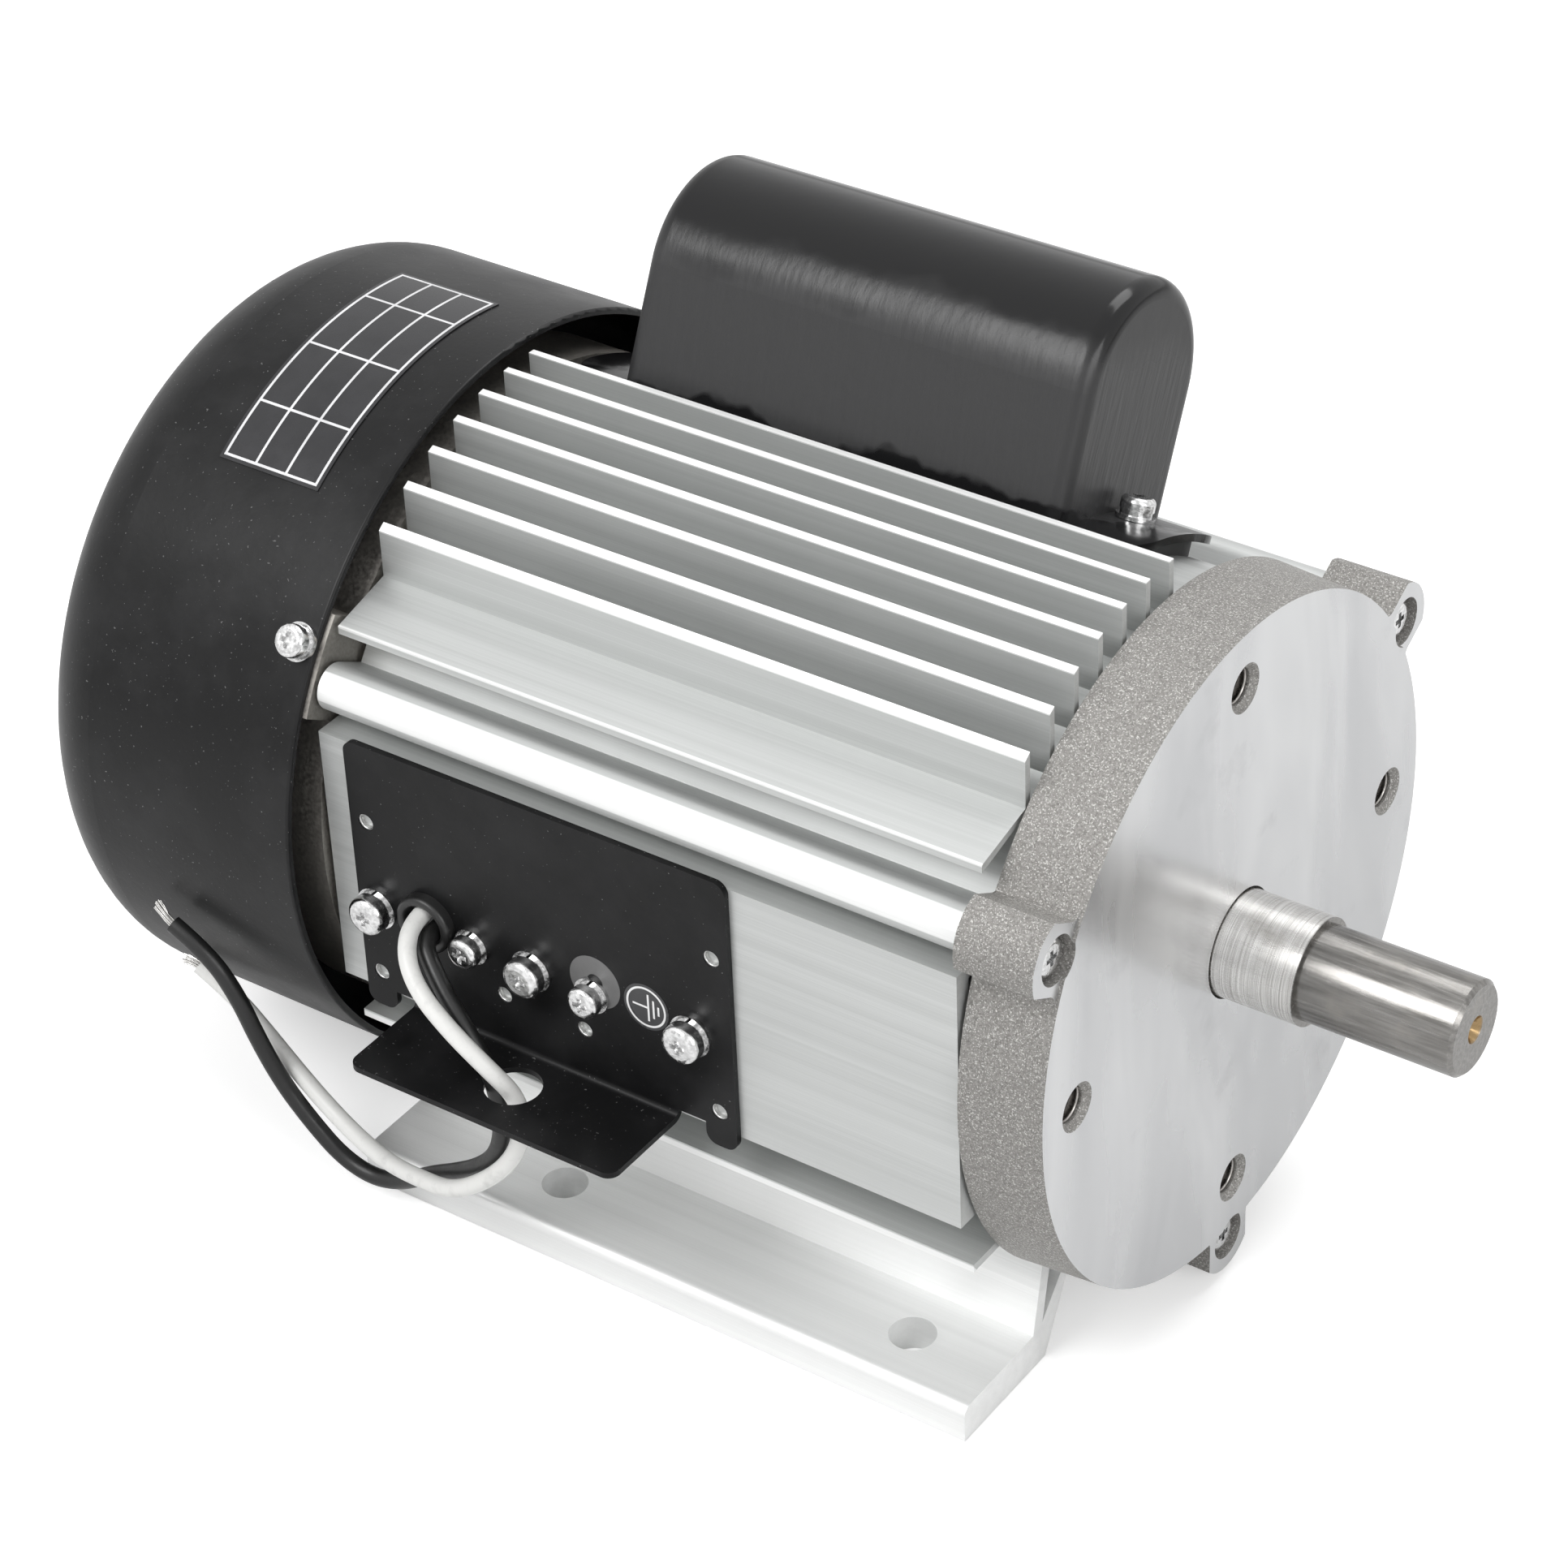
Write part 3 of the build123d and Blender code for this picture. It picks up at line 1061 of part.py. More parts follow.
def contact_arm():
    rear = ARM_X - ARM_THICKNESS / 2
    front = ARM_X + ARM_THICKNESS / 2
    width = ARM_PRONG_OUTER - ARM_PRONG_INNER
    middle = (ARM_PRONG_OUTER + ARM_PRONG_INNER) / 2
    plan = Sketch()
    for sign in (-1, 1):
        plan += Pos(ARM_PIVOT_Y / 2, sign * middle) * Rectangle(ARM_PIVOT_Y, width)
    tip_row = ARM_PRONG_OUTER + ARM_TIP_STEP + ARM_TIP_WIDTH / 2
    tip_end = ARM_PIVOT_Y - ARM_REACH
    plan += Pos(ARM_SHOULDER_Y / 2, middle + width / 2) * Rectangle(ARM_SHOULDER_Y, width + ARM_TIP_WIDTH)
    tip = Rectangle(ARM_SHOULDER_Y - tip_end, ARM_TIP_WIDTH)
    plan += Pos((ARM_SHOULDER_Y + tip_end) / 2, tip_row) * tip
    lever = along(rear, front, plan)
    barrel = Cylinder(ARM_BARREL_RADIUS, ARM_BARREL_LENGTH)
    lever += Pos(ARM_X, ARM_PIVOT_Y, SHAFT_HEIGHT) * barrel
    bore = Cylinder(ARM_PIN_RADIUS + PIN_CLEARANCE, ARM_BARREL_LENGTH + 2)
    lever -= Pos(ARM_X, ARM_PIVOT_Y, SHAFT_HEIGHT) * bore
    for sign in (-1, 1):
        pad = Pos(ARM_PAD_WIDTH / 2, sign * middle) * Rectangle(ARM_PAD_WIDTH, width - 2 * ARM_TIP_STEP)
        lever += along(front, PUSH_RING_REAR - ARM_PAD_GAP, pad)
    button = Pos(contact_place()) * Circle(CONTACT_RADIUS)
    return lever + along(BOARD_FRONT + CONTACT_HEIGHT + CONTACT_GAP, rear, button)


def main():
    nodes = {}
    nodes["motor_frame"] = motor_frame()
    nodes["front_flange"] = front_flange()
    nodes["rear_end_bell"] = rear_end_bell()
    nodes["through_bolts"] = through_bolts()

    front_races = bearing(FLANGE_FACE - FRONT_WEB, FRONT_BEARING)
    nodes["front_bearing_inner_race"] = front_races[0]
    nodes["front_bearing_outer_race"] = front_races[1]
    nodes["front_bearing_balls"] = front_races[2]
    rear_races = bearing(REAR_BEARING_FRONT, REAR_BEARING)
    nodes["rear_bearing_inner_race"] = rear_races[0]
    nodes["rear_bearing_outer_race"] = rear_races[1]
    nodes["rear_bearing_balls"] = rear_races[2]
    washer_front = REAR_BEARING_FRONT - REAR_BEARING[2]
    washer_rear = washer_front - WAVE_WASHER_THICKNESS
    washer_outer = REAR_BEARING[1] - WAVE_WASHER_CLEARANCE
    nodes["rear_wave_washer"] = tube(washer_rear, washer_front, washer_outer, washer_outer - WAVE_WASHER_WIDTH)

    nodes["stator_core"] = stator_core()
    main_ring = SLOT_MIDDLE + MAIN_RING_WALL
    start_ring = SLOT_MIDDLE - WIRE_GAP - RING_STEP
    nodes["main_winding"] = winding(SLOT_MIDDLE, SLOT_OUTER, main_ring, MAIN_OVERHANG)
    nodes["start_winding"] = winding(SLOT_INNER, SLOT_MIDDLE, start_ring, START_OVERHANG)
    nodes["rotor_core"] = rotor_core()
    nodes["rotor_cage"] = rotor_cage()
    nodes["shaft"] = shaft()

    nodes["cooling_fan"] = cooling_fan()
    nodes["fan_retaining_clip"] = fan_retaining_clip()
    nodes["fan_cover"] = fan_cover()
    stack = screw_stack(cover_screw_planes(), SMALL_SCREW, COVER_SCREW_LENGTH + COVER_WALL)
    nodes["fan_cover_screws"], nodes["fan_cover_lock_washers"], nodes["fan_cover_flat_washers"] = stack
    nodes["rating_label"] = rating_label()

    nodes["terminal_plate"] = terminal_plate()
    seats = [side(x, SCREW_ROW).offset(PLATE_THICKNESS) for x in PLATE_SCREW_X]
    stack = screw_stack(seats, LARGE_SCREW, PLATE_SCREW_LENGTH)
    nodes["plate_screws"], nodes["plate_lock_washers"], nodes["plate_flat_washers"] = stack
    seats = [side(x, SCREW_ROW).offset(PLATE_THICKNESS) for x in TERMINAL_SCREW_X]
    stack = screw_stack(seats, SMALL_SCREW, PLATE_SCREW_LENGTH)
    nodes["terminal_screws"] = stack[0]
    nodes["terminal_lock_washers"] = stack[1]
    nodes["terminal_flat_washers"] = stack[2]

    nodes["lead_grommet"] = lead_grommet()
    nodes["black_lead"], black_end = lead(BLACK_ROUTE, "black_lead")
    nodes["white_lead"], white_end = lead(WHITE_ROUTE, "white_lead")
    nodes["black_lead_strands"] = strands(black_end, STRIPPED_BLACK)
    nodes["white_lead_strands"] = strands(white_end, STRIPPED_WHITE)

    nodes["capacitor_cover"] = capacitor_cover()
    nodes["capacitor_gasket"] = capacitor_gasket()
    nodes["start_capacitor"] = start_capacitor()
    nodes["capacitor_terminals"] = capacitor_terminals()
    seats = capacitor_screw_planes(CAP_SHEET_RADIUS)
    depth = CAP_SHEET_RADIUS - BODY_RADIUS + CAP_SCREW_BITE
    stack = screw_stack(seats, SMALL_SCREW, depth)
    nodes["capacitor_cover_screws"] = stack[0]
    nodes["capacitor_lock_washers"] = stack[1]
    nodes["capacitor_flat_washers"] = stack[2]

    nodes["governor_base"] = governor_base()
    nodes["governor_pins"] = governor_pins()
    nodes["governor_spring"] = governor_spring()
    nodes["governor_collar"] = governor_collar()
    nodes["upper_flyweight"] = flyweight(1)
    nodes["lower_flyweight"] = flyweight(-1)
    nodes["switch_board"] = switch_board()
    nodes["switch_board_screws"] = switch_board_screws()
    nodes["fixed_contact"] = fixed_contact()
    nodes["contact_arm_pin"] = contact_arm_pin()
    nodes["contact_arm"] = contact_arm()

    os.makedirs("parts", exist_ok=True)
    for name, shape in nodes.items():
        if isinstance(shape, list):
            solids = []
            for piece in shape:
                solids.extend(piece.solids())
            shape = Compound(children=solids)
        export_step(shape, f"parts/{name}.step")


main()
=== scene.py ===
"""Looks of the foot and flange mounted single-phase motor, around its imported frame."""
import math
import random

import bmesh
import bpy
from mathutils import Matrix, Vector


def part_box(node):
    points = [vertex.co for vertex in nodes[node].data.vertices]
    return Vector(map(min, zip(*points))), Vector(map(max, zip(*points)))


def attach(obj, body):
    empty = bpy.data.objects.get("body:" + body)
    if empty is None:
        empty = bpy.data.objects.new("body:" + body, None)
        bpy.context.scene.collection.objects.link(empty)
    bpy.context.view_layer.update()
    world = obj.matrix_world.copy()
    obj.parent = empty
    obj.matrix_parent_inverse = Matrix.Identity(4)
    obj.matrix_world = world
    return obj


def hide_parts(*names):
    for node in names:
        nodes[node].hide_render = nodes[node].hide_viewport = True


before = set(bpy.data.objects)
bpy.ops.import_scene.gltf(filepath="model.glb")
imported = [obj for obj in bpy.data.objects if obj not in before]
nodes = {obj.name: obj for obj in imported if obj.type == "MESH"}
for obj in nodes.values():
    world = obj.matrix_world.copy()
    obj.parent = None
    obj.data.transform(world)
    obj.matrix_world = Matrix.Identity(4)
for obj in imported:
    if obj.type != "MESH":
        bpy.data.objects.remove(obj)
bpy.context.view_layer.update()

# Shaft, in metres
AXIS_Z = 0.095
FLANGE_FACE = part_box("front_flange")[1][0]
COLLAR_LENGTH = 0.020
COLLAR_END = FLANGE_FACE + COLLAR_LENGTH
COLLAR_FADE = 0.0004
SHAFT_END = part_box("shaft")[1][0]
CENTRE_RUST_RADIUS = 0.0030
CENTRE_CLEAN_RADIUS = 0.0034
CENTRE_RUST_DEPTH = 0.0050
CENTRE_RUST_FADE = 0.0005

# Frame: painted light on the feet below, to lift the shade under the body, and a painted highlight along
# the fin tips
FEET_BRIGHT_BELOW = 0.016
FEET_DULL_ABOVE = 0.048
TIP_RADIUS = 0.0888
# Fin tips from this radius outward take a painted highlight
TIP_HIGHLIGHT_START = TIP_RADIUS - 0.0004
TIP_HIGHLIGHT_FULL = TIP_RADIUS - 0.0002

# Flange holes, on a circle round the shaft
FLANGE_HOLE_COUNT = 4
FLANGE_HOLE_CIRCLE = 0.0665
FLANGE_HOLE_RADIUS = 0.00425
FLANGE_HOLE_DEPTH = 0.0155
FLANGE_THREAD_START = 0.0015
FLANGE_THREAD_PITCH = 0.0015
FLANGE_THREAD_HEIGHT = 0.00042

# Terminal plate: places on it are along X and over the shaft line
PLATE_FACE_Y = -0.0807
TAP_RADIUS = 0.0021
PLATE_THREAD_DEPTH = 0.0040
PLATE_THREAD_PITCH = 0.0008
PLATE_THREAD_HEIGHT = 0.00034
TAPPED_HOLES = (
    (-0.08385, 0.0143),
    (0.01025, 0.0143),
    (-0.08385, -0.0275),
    (0.01025, -0.0275),
    (-0.0480, -0.0193),
    (-0.0257, -0.0198),
)

# Earth screw's bare spot and the sign beside it
EARTH_SCREW = (-0.0218, -0.0050)
EARTH_SCREW_RADIUS = 0.0021
BARE_SPOT_RADIUS = 0.0068
BARE_SPOT_HEIGHT = 0.00005
EARTH_SIGN = (-0.0080, -0.0061)
EARTH_DISC_RADIUS = 0.0060
EARTH_DISC_CENTRE = 0.00001
EARTH_DISC_HEIGHT = 0.00007
EARTH_RING = (0.0048, 0.0053)
EARTH_INK = (0.00005, 0.00012)
EARTH_LINE_HALF = 0.00024
EARTH_STEM = (-0.0036, 0.0004)
EARTH_BARS = ((0.0006, 0.0036), (0.0020, 0.0024), (0.0033, 0.0012))

# Fan cover and the rating label on it; angles in degrees round the shaft
COVER_RADIUS = 0.0914
LABEL_TOP = 0.0917
LABEL_ANGLES = (80.0, 124.4)
LABEL_X = (-0.1425, -0.1140)
LABEL_LINE = 0.00064
LABEL_MARGIN = 0.0012
LABEL_ROWS = 3
LABEL_COLUMN_EDGES = (0, 0.2, 0.5, 0.78, 1.0)
LABEL_INK_SUNK = 0.00002
LABEL_INK_PROUD = 0.00004

# Capacitor cover: it stands out from the shaft line at an angle
CAP_ANGLE = math.radians(65.0)
CAP_DIRECTION = Vector((0, math.cos(CAP_ANGLE), math.sin(CAP_ANGLE)))
CAP_ACROSS = Vector((0, math.sin(CAP_ANGLE), -math.cos(CAP_ANGLE)))
CAP_SHOULDER = 0.109
CAP_STREAKS_FADE = (CAP_SHOULDER + 0.002, CAP_SHOULDER + 0.012)
CAP_FOOT = 0.0822
CAP_FOOT_FADE = 0.0015
CAP_LEVEL_WANDER = 0.004

# Camera, as fitted to the photograph
CAMERA_PLACE = Vector((0.4846, -0.7002, 0.7052))
CAMERA_FORWARD = Vector((-0.4821, 0.6592, -0.5771))
CAMERA_UP = Vector((-0.3047, 0.4914, 0.8157))
LENS = 106.17
SENSOR = 36.0
CLIP_END = 50

# Floor, surroundings and lamps; a lamp has a place, a size in metres and a power in watts
FLOOR_REACH = 12.0
FLOOR_DROP = 0.0002
FLOOR_LIFT = 0.42
WORLD_LIGHT = 0.50
WORLD_SEEN = 1.0
LAMP_TARGET = Vector((0, 0, 0.08))
LAMPS = (
    ("key", (-0.5, -1.2, 1.5), (1.1, 0.8), 19),
    ("fill", (1.5, -0.5, 0.9), (0.9, 0.9), 9),
    ("top", (0.1, 0.9, 1.6), (1.2, 0.8), 11),
)

# Leads: where they leave the plate, and their routes to the bare ends
LEAD_DIAMETER = 0.0042
LEAD_EXIT_Y = -0.0802
BLACK_EXIT = (-0.0658, 0.0872)
WHITE_EXIT = (-0.0686, 0.0910)
BLACK_ROUTE = (
    (BLACK_EXIT[0], LEAD_EXIT_Y, BLACK_EXIT[1]),
    (BLACK_EXIT[0], LEAD_EXIT_Y - 0.0058, BLACK_EXIT[1]),
    (-0.0606, -0.0893, 0.0834),
    (-0.0546, -0.0918, 0.0784),
    (-0.0480, -0.0936, 0.0726),
    (-0.0424, -0.0942, 0.0654),
    (-0.0408, -0.0938, 0.0560),
    (-0.0418, -0.0928, 0.0468),
    (-0.0456, -0.0912, 0.0378),
    (-0.0524, -0.0894, 0.0302),
    (-0.0608, -0.0878, 0.0238),
    (-0.0706, -0.0862, 0.0174),
    (-0.0808, -0.0843, 0.0092),
    (-0.0900, -0.0842, 0.0062),
    (-0.0990, -0.0848, 0.0092),
    (-0.1072, -0.0854, 0.0172),
    (-0.1134, -0.0866, 0.0264),
    (-0.1180, -0.0882, 0.0384),
    (-0.1212, -0.0898, 0.0508),
    (-0.1270, -0.0914, 0.0618),
    (-0.1367, -0.0920, 0.0672),
)
WHITE_ROUTE = (
    (WHITE_EXIT[0], LEAD_EXIT_Y, WHITE_EXIT[1]),
    (WHITE_EXIT[0], LEAD_EXIT_Y - 0.0060, WHITE_EXIT[1]),
    (-0.0652, -0.0930, 0.0874),
    (-0.0586, -0.0970, 0.0826),
    (-0.0490, -0.0984, 0.0764),
    (-0.0398, -0.0972, 0.0686),
    (-0.0358, -0.0938, 0.0608),
    (-0.0356, -0.0926, 0.0512),
    (-0.0386, -0.0934, 0.0416),
    (-0.0460, -0.0944, 0.0326),
    (-0.0568, -0.0946, 0.0246),
    (-0.0680, -0.0926, 0.0218),
    (-0.0792, -0.0898, 0.0192),
    (-0.0904, -0.0864, 0.0186),
    (-0.1018, -0.0836, 0.0212),
    (-0.1122, -0.0820, 0.0268),
    (-0.1214, -0.0814, 0.0342),
    (-0.1305, -0.0812, 0.0416),
    (-0.1396, -0.0824, 0.0478),
)
BLACK_LENGTH = 0.2098
WHITE_LENGTH = 0.1979

# Stripped wires at a lead's end: how long they are, how far they bend up, and the seed of their spread
BLACK_WIRES = (0.0064, 0.0018, 3)
WHITE_WIRES = (0.0046, -0.0014, 8)
WIRE_COUNT = 16
WIRE_RADIUS = 0.00019
WIRE_TURN = 2.4
BUNDLE_RADIUS = 0.00085
WIRE_ROOT = 0.001
WIRE_REACH = (0.7, 1.0)
WIRE_SPREAD = (0.0002, 0.0007)
WIRE_WAVE = 3
WIRE_RIPPLE = 0.00012
WIRE_POINTS = 4

# Tones, as red, green and blue
MILL_DARK = (0.49, 0.502, 0.495)
MILL_LIGHT = (0.62, 0.632, 0.625)
# Painted light for the frame: a lifted tone on the feet and a painted highlight on the fin tips
PAINTED_LIGHT_DARK = (0.86, 0.865, 0.86)
PAINTED_LIGHT_BRIGHT = (0.95, 0.955, 0.95)
CAST_DARK = (0.17, 0.164, 0.155)
CAST_LIGHT = (0.36, 0.35, 0.333)
# Painted glint colour for the specks in the cast grain
CAST_PAINTED_GLINT = (0.80, 0.79, 0.77)
MACHINED_DARK = (0.56, 0.565, 0.575)
MACHINED_LIGHT = (0.69, 0.695, 0.70)
MACHINED_STAIN = (0.42, 0.42, 0.43)
TURNED_DARK = (0.50, 0.485, 0.465)
TURNED_LIGHT = (0.92, 0.91, 0.89)
DRAWN_DARK = (0.19, 0.184, 0.175)
DRAWN_LIGHT = (0.30, 0.292, 0.28)
STEEL_PATCH = (0.34, 0.32, 0.29)
RUST = (0.34, 0.235, 0.12)
DUST = (0.32, 0.32, 0.32)
CAP_GLOSSY = (0.006, 0.006, 0.0065)
CAP_STREAKED = (0.036, 0.036, 0.037)

# Sockets of the colour mix node, which share their names with others
MIX_FIRST = 6
MIX_SECOND = 7
MIX_RESULT = 2


def add_camera():
    """Camera at the photograph's place and angle."""
    data = bpy.data.cameras.new("camera")
    data.lens = LENS
    data.sensor_width = SENSOR
    data.clip_end = CLIP_END
    camera = bpy.data.objects.new("camera", data)
    bpy.context.scene.collection.objects.link(camera)
    back = -CAMERA_FORWARD.normalized()
    right = CAMERA_UP.cross(back).normalized()
    up = back.cross(right)
    turn = Matrix((right, up, back)).transposed()
    camera.matrix_world = Matrix.Translation(CAMERA_PLACE) @ turn.to_4x4()
    bpy.context.scene.camera = camera


class Shader:
    """A principled material with short calls for the nodes that feed it."""

    def __init__(self, name, color, metallic=0.0, roughness=0.5, **sockets):
        self.material = bpy.data.materials.new(name)
        self.material.use_nodes = True
        self.tree = self.material.node_tree
        self.bsdf = self.tree.nodes["Principled BSDF"]
        self.bsdf.inputs["Base Color"].default_value = (*color, 1)
        self.bsdf.inputs["Metallic"].default_value = metallic
        self.bsdf.inputs["Roughness"].default_value = roughness
        for socket, value in sockets.items():
            self.bsdf.inputs[socket.replace("_", " ")].default_value = value
        coordinates = self.tree.nodes.new("ShaderNodeTexCoord")
        self.place = coordinates.outputs["Object"]
        self.normal = coordinates.outputs["Normal"]

    def link(self, output, node, socket):
        self.tree.links.new(output, node.inputs[socket])

    def scaled(self, scale):
        """Place with each axis multiplied by its scale."""
        node = self.tree.nodes.new("ShaderNodeMapping")
        node.inputs["Scale"].default_value = scale
        self.link(self.place, node, "Vector")
        return node.outputs["Vector"]

    def noise(self, scale, detail=4.0, rough=0.6, distortion=0.0):
        """Noise of the given scale per metre, one number or one for each axis."""
        stretch = scale if isinstance(scale, tuple) else (scale, scale, scale)
        node = self.tree.nodes.new("ShaderNodeTexNoise")
        node.inputs["Scale"].default_value = 1.0
        node.inputs["Detail"].default_value = detail
        node.inputs["Roughness"].default_value = rough
        node.inputs["Distortion"].default_value = distortion
        self.link(self.scaled(stretch), node, "Vector")
        return node.outputs["Fac"]

    def turned_noise(self, scale, across, up, detail=4.0):
        """Noise stretched along X, a direction across it and a direction up."""
        joined = self.tree.nodes.new("ShaderNodeCombineXYZ")
        places = (self.axis("X"), self.along(across), self.along(up))
        for socket, place, size in zip(("X", "Y", "Z"), places, scale):
            self.link(self.maths("MULTIPLY", place, size), joined, socket)
        node = self.tree.nodes.new("ShaderNodeTexNoise")
        node.inputs["Scale"].default_value = 1.0
        node.inputs["Detail"].default_value = detail
        self.link(joined.outputs["Vector"], node, "Vector")
        return node.outputs["Fac"]

    def rings(self, scale):
        """Noise that changes with the distance from the shaft line alone."""
        node = self.tree.nodes.new("ShaderNodeTexNoise")
        node.noise_dimensions = "1D"
        node.inputs["Scale"].default_value = scale
        self.link(self.radius(), node, "W")
        return node.outputs["Fac"]

    def ramp(self, value, low, high, low_out=0.0, high_out=1.0):
        """Value between low and high, mapped between the two outputs and held beyond them."""
        node = self.tree.nodes.new("ShaderNodeMapRange")
        self.link(value, node, "Value")
        node.inputs["From Min"].default_value = low
        node.inputs["From Max"].default_value = high
        node.inputs["To Min"].default_value = low_out
        node.inputs["To Max"].default_value = high_out
        return node.outputs["Result"]

    def maths(self, operation, first, second):
        """One operation on two values, each an output or a number."""
        node = self.tree.nodes.new("ShaderNodeMath")
        node.operation = operation
        for index, value in enumerate((first, second)):
            if isinstance(value, (int, float)):
                node.inputs[index].default_value = value
            else:
                self.tree.links.new(value, node.inputs[index])
        return node.outputs[0]

    def facing(self, name):
        """How far the surface faces along an axis of the part."""
        node = self.tree.nodes.new("ShaderNodeSeparateXYZ")
        self.link(self.normal, node, "Vector")
        return node.outputs[name]

    def axis(self, name):
        """Place along an axis of the part."""
        node = self.tree.nodes.new("ShaderNodeSeparateXYZ")
        self.link(self.place, node, "Vector")
        return node.outputs[name]

    def along(self, direction, offset=(0, 0, 0)):
        """Distance along a direction, from a point."""
        node = self.tree.nodes.new("ShaderNodeVectorMath")
        node.operation = "DOT_PRODUCT"
        self.tree.links.new(self.place, node.inputs[0])
        node.inputs[1].default_value = direction
        start = Vector(offset).dot(Vector(direction))
        return self.maths("SUBTRACT", node.outputs["Value"], start)

    def radius(self):
        """Distance from the shaft line."""
        node = self.tree.nodes.new("ShaderNodeVectorMath")
        node.operation = "LENGTH"
        flat = self.tree.nodes.new("ShaderNodeMapping")
        flat.inputs["Scale"].default_value = (0, 1, 1)
        flat.inputs["Location"].default_value = (0, 0, -AXIS_Z)
        self.link(self.place, flat, "Vector")
        self.tree.links.new(flat.outputs["Vector"], node.inputs[0])
        return node.outputs["Value"]

    def mix(self, factor, first, second):
        """Colour between two others, each an output or a tone."""
        node = self.tree.nodes.new("ShaderNodeMix")
        node.data_type = "RGBA"
        self.tree.links.new(factor, node.inputs["Factor"])
        for socket, value in ((MIX_FIRST, first), (MIX_SECOND, second)):
            if isinstance(value, tuple):
                node.inputs[socket].default_value = (*value, 1)
            else:
                self.tree.links.new(value, node.inputs[socket])
        return node.outputs[MIX_RESULT]

    def color(self, output):
        self.link(output, self.bsdf, "Base Color")

    def metallic(self, output):
        self.link(output, self.bsdf, "Metallic")

    def roughness(self, output):
        self.link(output, self.bsdf, "Roughness")

    def bump(self, height, distance, strength=1.0, after=None):
        """Bump from a height, on top of an earlier bump if there is one."""
        node = self.tree.nodes.new("ShaderNodeBump")
        node.inputs["Distance"].default_value = distance
        if isinstance(strength, float):
            node.inputs["Strength"].default_value = strength
        else:
            self.link(strength, node, "Strength")
        self.link(height, node, "Height")
        if after is not None:
            self.link(after, node, "Normal")
        self.link(node.outputs["Normal"], self.bsdf, "Normal")
        return node.outputs["Normal"]


def extruded_aluminium():
    """Mill finish: fine lines along the extrusion, with painted light on the feet to lift the shade
    under the body, and a painted highlight on the fin tips.
    """
    shader = Shader("extruded_aluminium", (0.53, 0.542, 0.535), metallic=0.55, roughness=0.48)
    lines = shader.noise((3, 2600, 2600), detail=5.0, rough=0.7)
    streaks = shader.noise((1.5, 260, 260), detail=3.0)
    clouds = shader.noise((14, 30, 30), detail=4.0)
    line_share = shader.maths("MULTIPLY", lines, 0.45)
    streak_share = shader.maths("MULTIPLY", streaks, 0.55)
    light = shader.ramp(shader.maths("ADD", line_share, streak_share), 0.35, 0.65)
    body = shader.mix(light, MILL_DARK, MILL_LIGHT)
    # Painted light: a brighter tone that lifts the shade on the feet and makes a painted highlight on
    # the fin tips
    brightened = shader.mix(light, PAINTED_LIGHT_DARK, PAINTED_LIGHT_BRIGHT)
    # Painted light on the feet, full below and fading out above
    feet = shader.ramp(shader.axis("Z"), FEET_BRIGHT_BELOW, FEET_DULL_ABOVE, 1.0, 0.0)
    # Painted highlight along the fin tips
    tips = shader.ramp(shader.radius(), TIP_HIGHLIGHT_START, TIP_HIGHLIGHT_FULL)
    shader.color(shader.mix(shader.maths("MAXIMUM", feet, tips), body, brightened))
    coarse = shader.ramp(clouds, 0.3, 0.7, 0.38, 0.50)
    fine = shader.ramp(lines, 0.3, 0.7, 0.0, 0.08)
    shader.roughness(shader.maths("ADD", coarse, fine))
    first = shader.bump(lines, 0.00002, 0.5)
    shader.bump(streaks, 0.00006, 0.4, after=first)
    return shader.material


def cast_aluminium():
    """Sand-cast rim with a grain and painted glints in it, and machined end faces with blurred marks."""
    shader = Shader("cast_aluminium", (0.45, 0.43, 0.40), metallic=0.9, roughness=0.5)
    face = shader.ramp(shader.facing("X"), 0.75, 0.85)
    shader.metallic(shader.ramp(face, 0.0, 1.0, 0.5, 0.9))
    grain = shader.noise(1500, detail=5.0, rough=0.75)
    # Painted glints: bright specks mixed into the cast grain's colour
    painted_glints = shader.ramp(shader.noise(2600, detail=2.0), 0.56, 0.66)
    stains = shader.noise(60, detail=5.0)
    cast = shader.mix(shader.ramp(grain, 0.35, 0.65), CAST_DARK, CAST_LIGHT)
    cast = shader.mix(shader.maths("MULTIPLY", painted_glints, 0.7), cast, CAST_PAINTED_GLINT)
    blurs = shader.noise((40, 28, 9), detail=3.0, distortion=0.6)
    machined = shader.mix(shader.ramp(blurs, 0.35, 0.65), MACHINED_DARK, MACHINED_LIGHT)
    machined = shader.mix(shader.ramp(stains, 0.60, 0.74, 0.0, 0.35), machined, MACHINED_STAIN)
    shader.color(shader.mix(face, cast, machined))
    cast_rough = shader.ramp(grain, 0.3, 0.7, 0.42, 0.60)
    face_rough = shader.ramp(blurs, 0.3, 0.7, 0.20, 0.34)
    difference = shader.maths("SUBTRACT", face_rough, cast_rough)
    shader.roughness(shader.maths("ADD", cast_rough, shader.maths("MULTIPLY", difference, face)))
    rings = shader.rings(2400)
    rim_strength = shader.maths("SUBTRACT", 1.0, face)
    first = shader.bump(grain, 0.00025, rim_strength)
    shader.bump(rings, 0.000015, shader.maths("MULTIPLY", face, 0.6), after=first)
    return shader.material


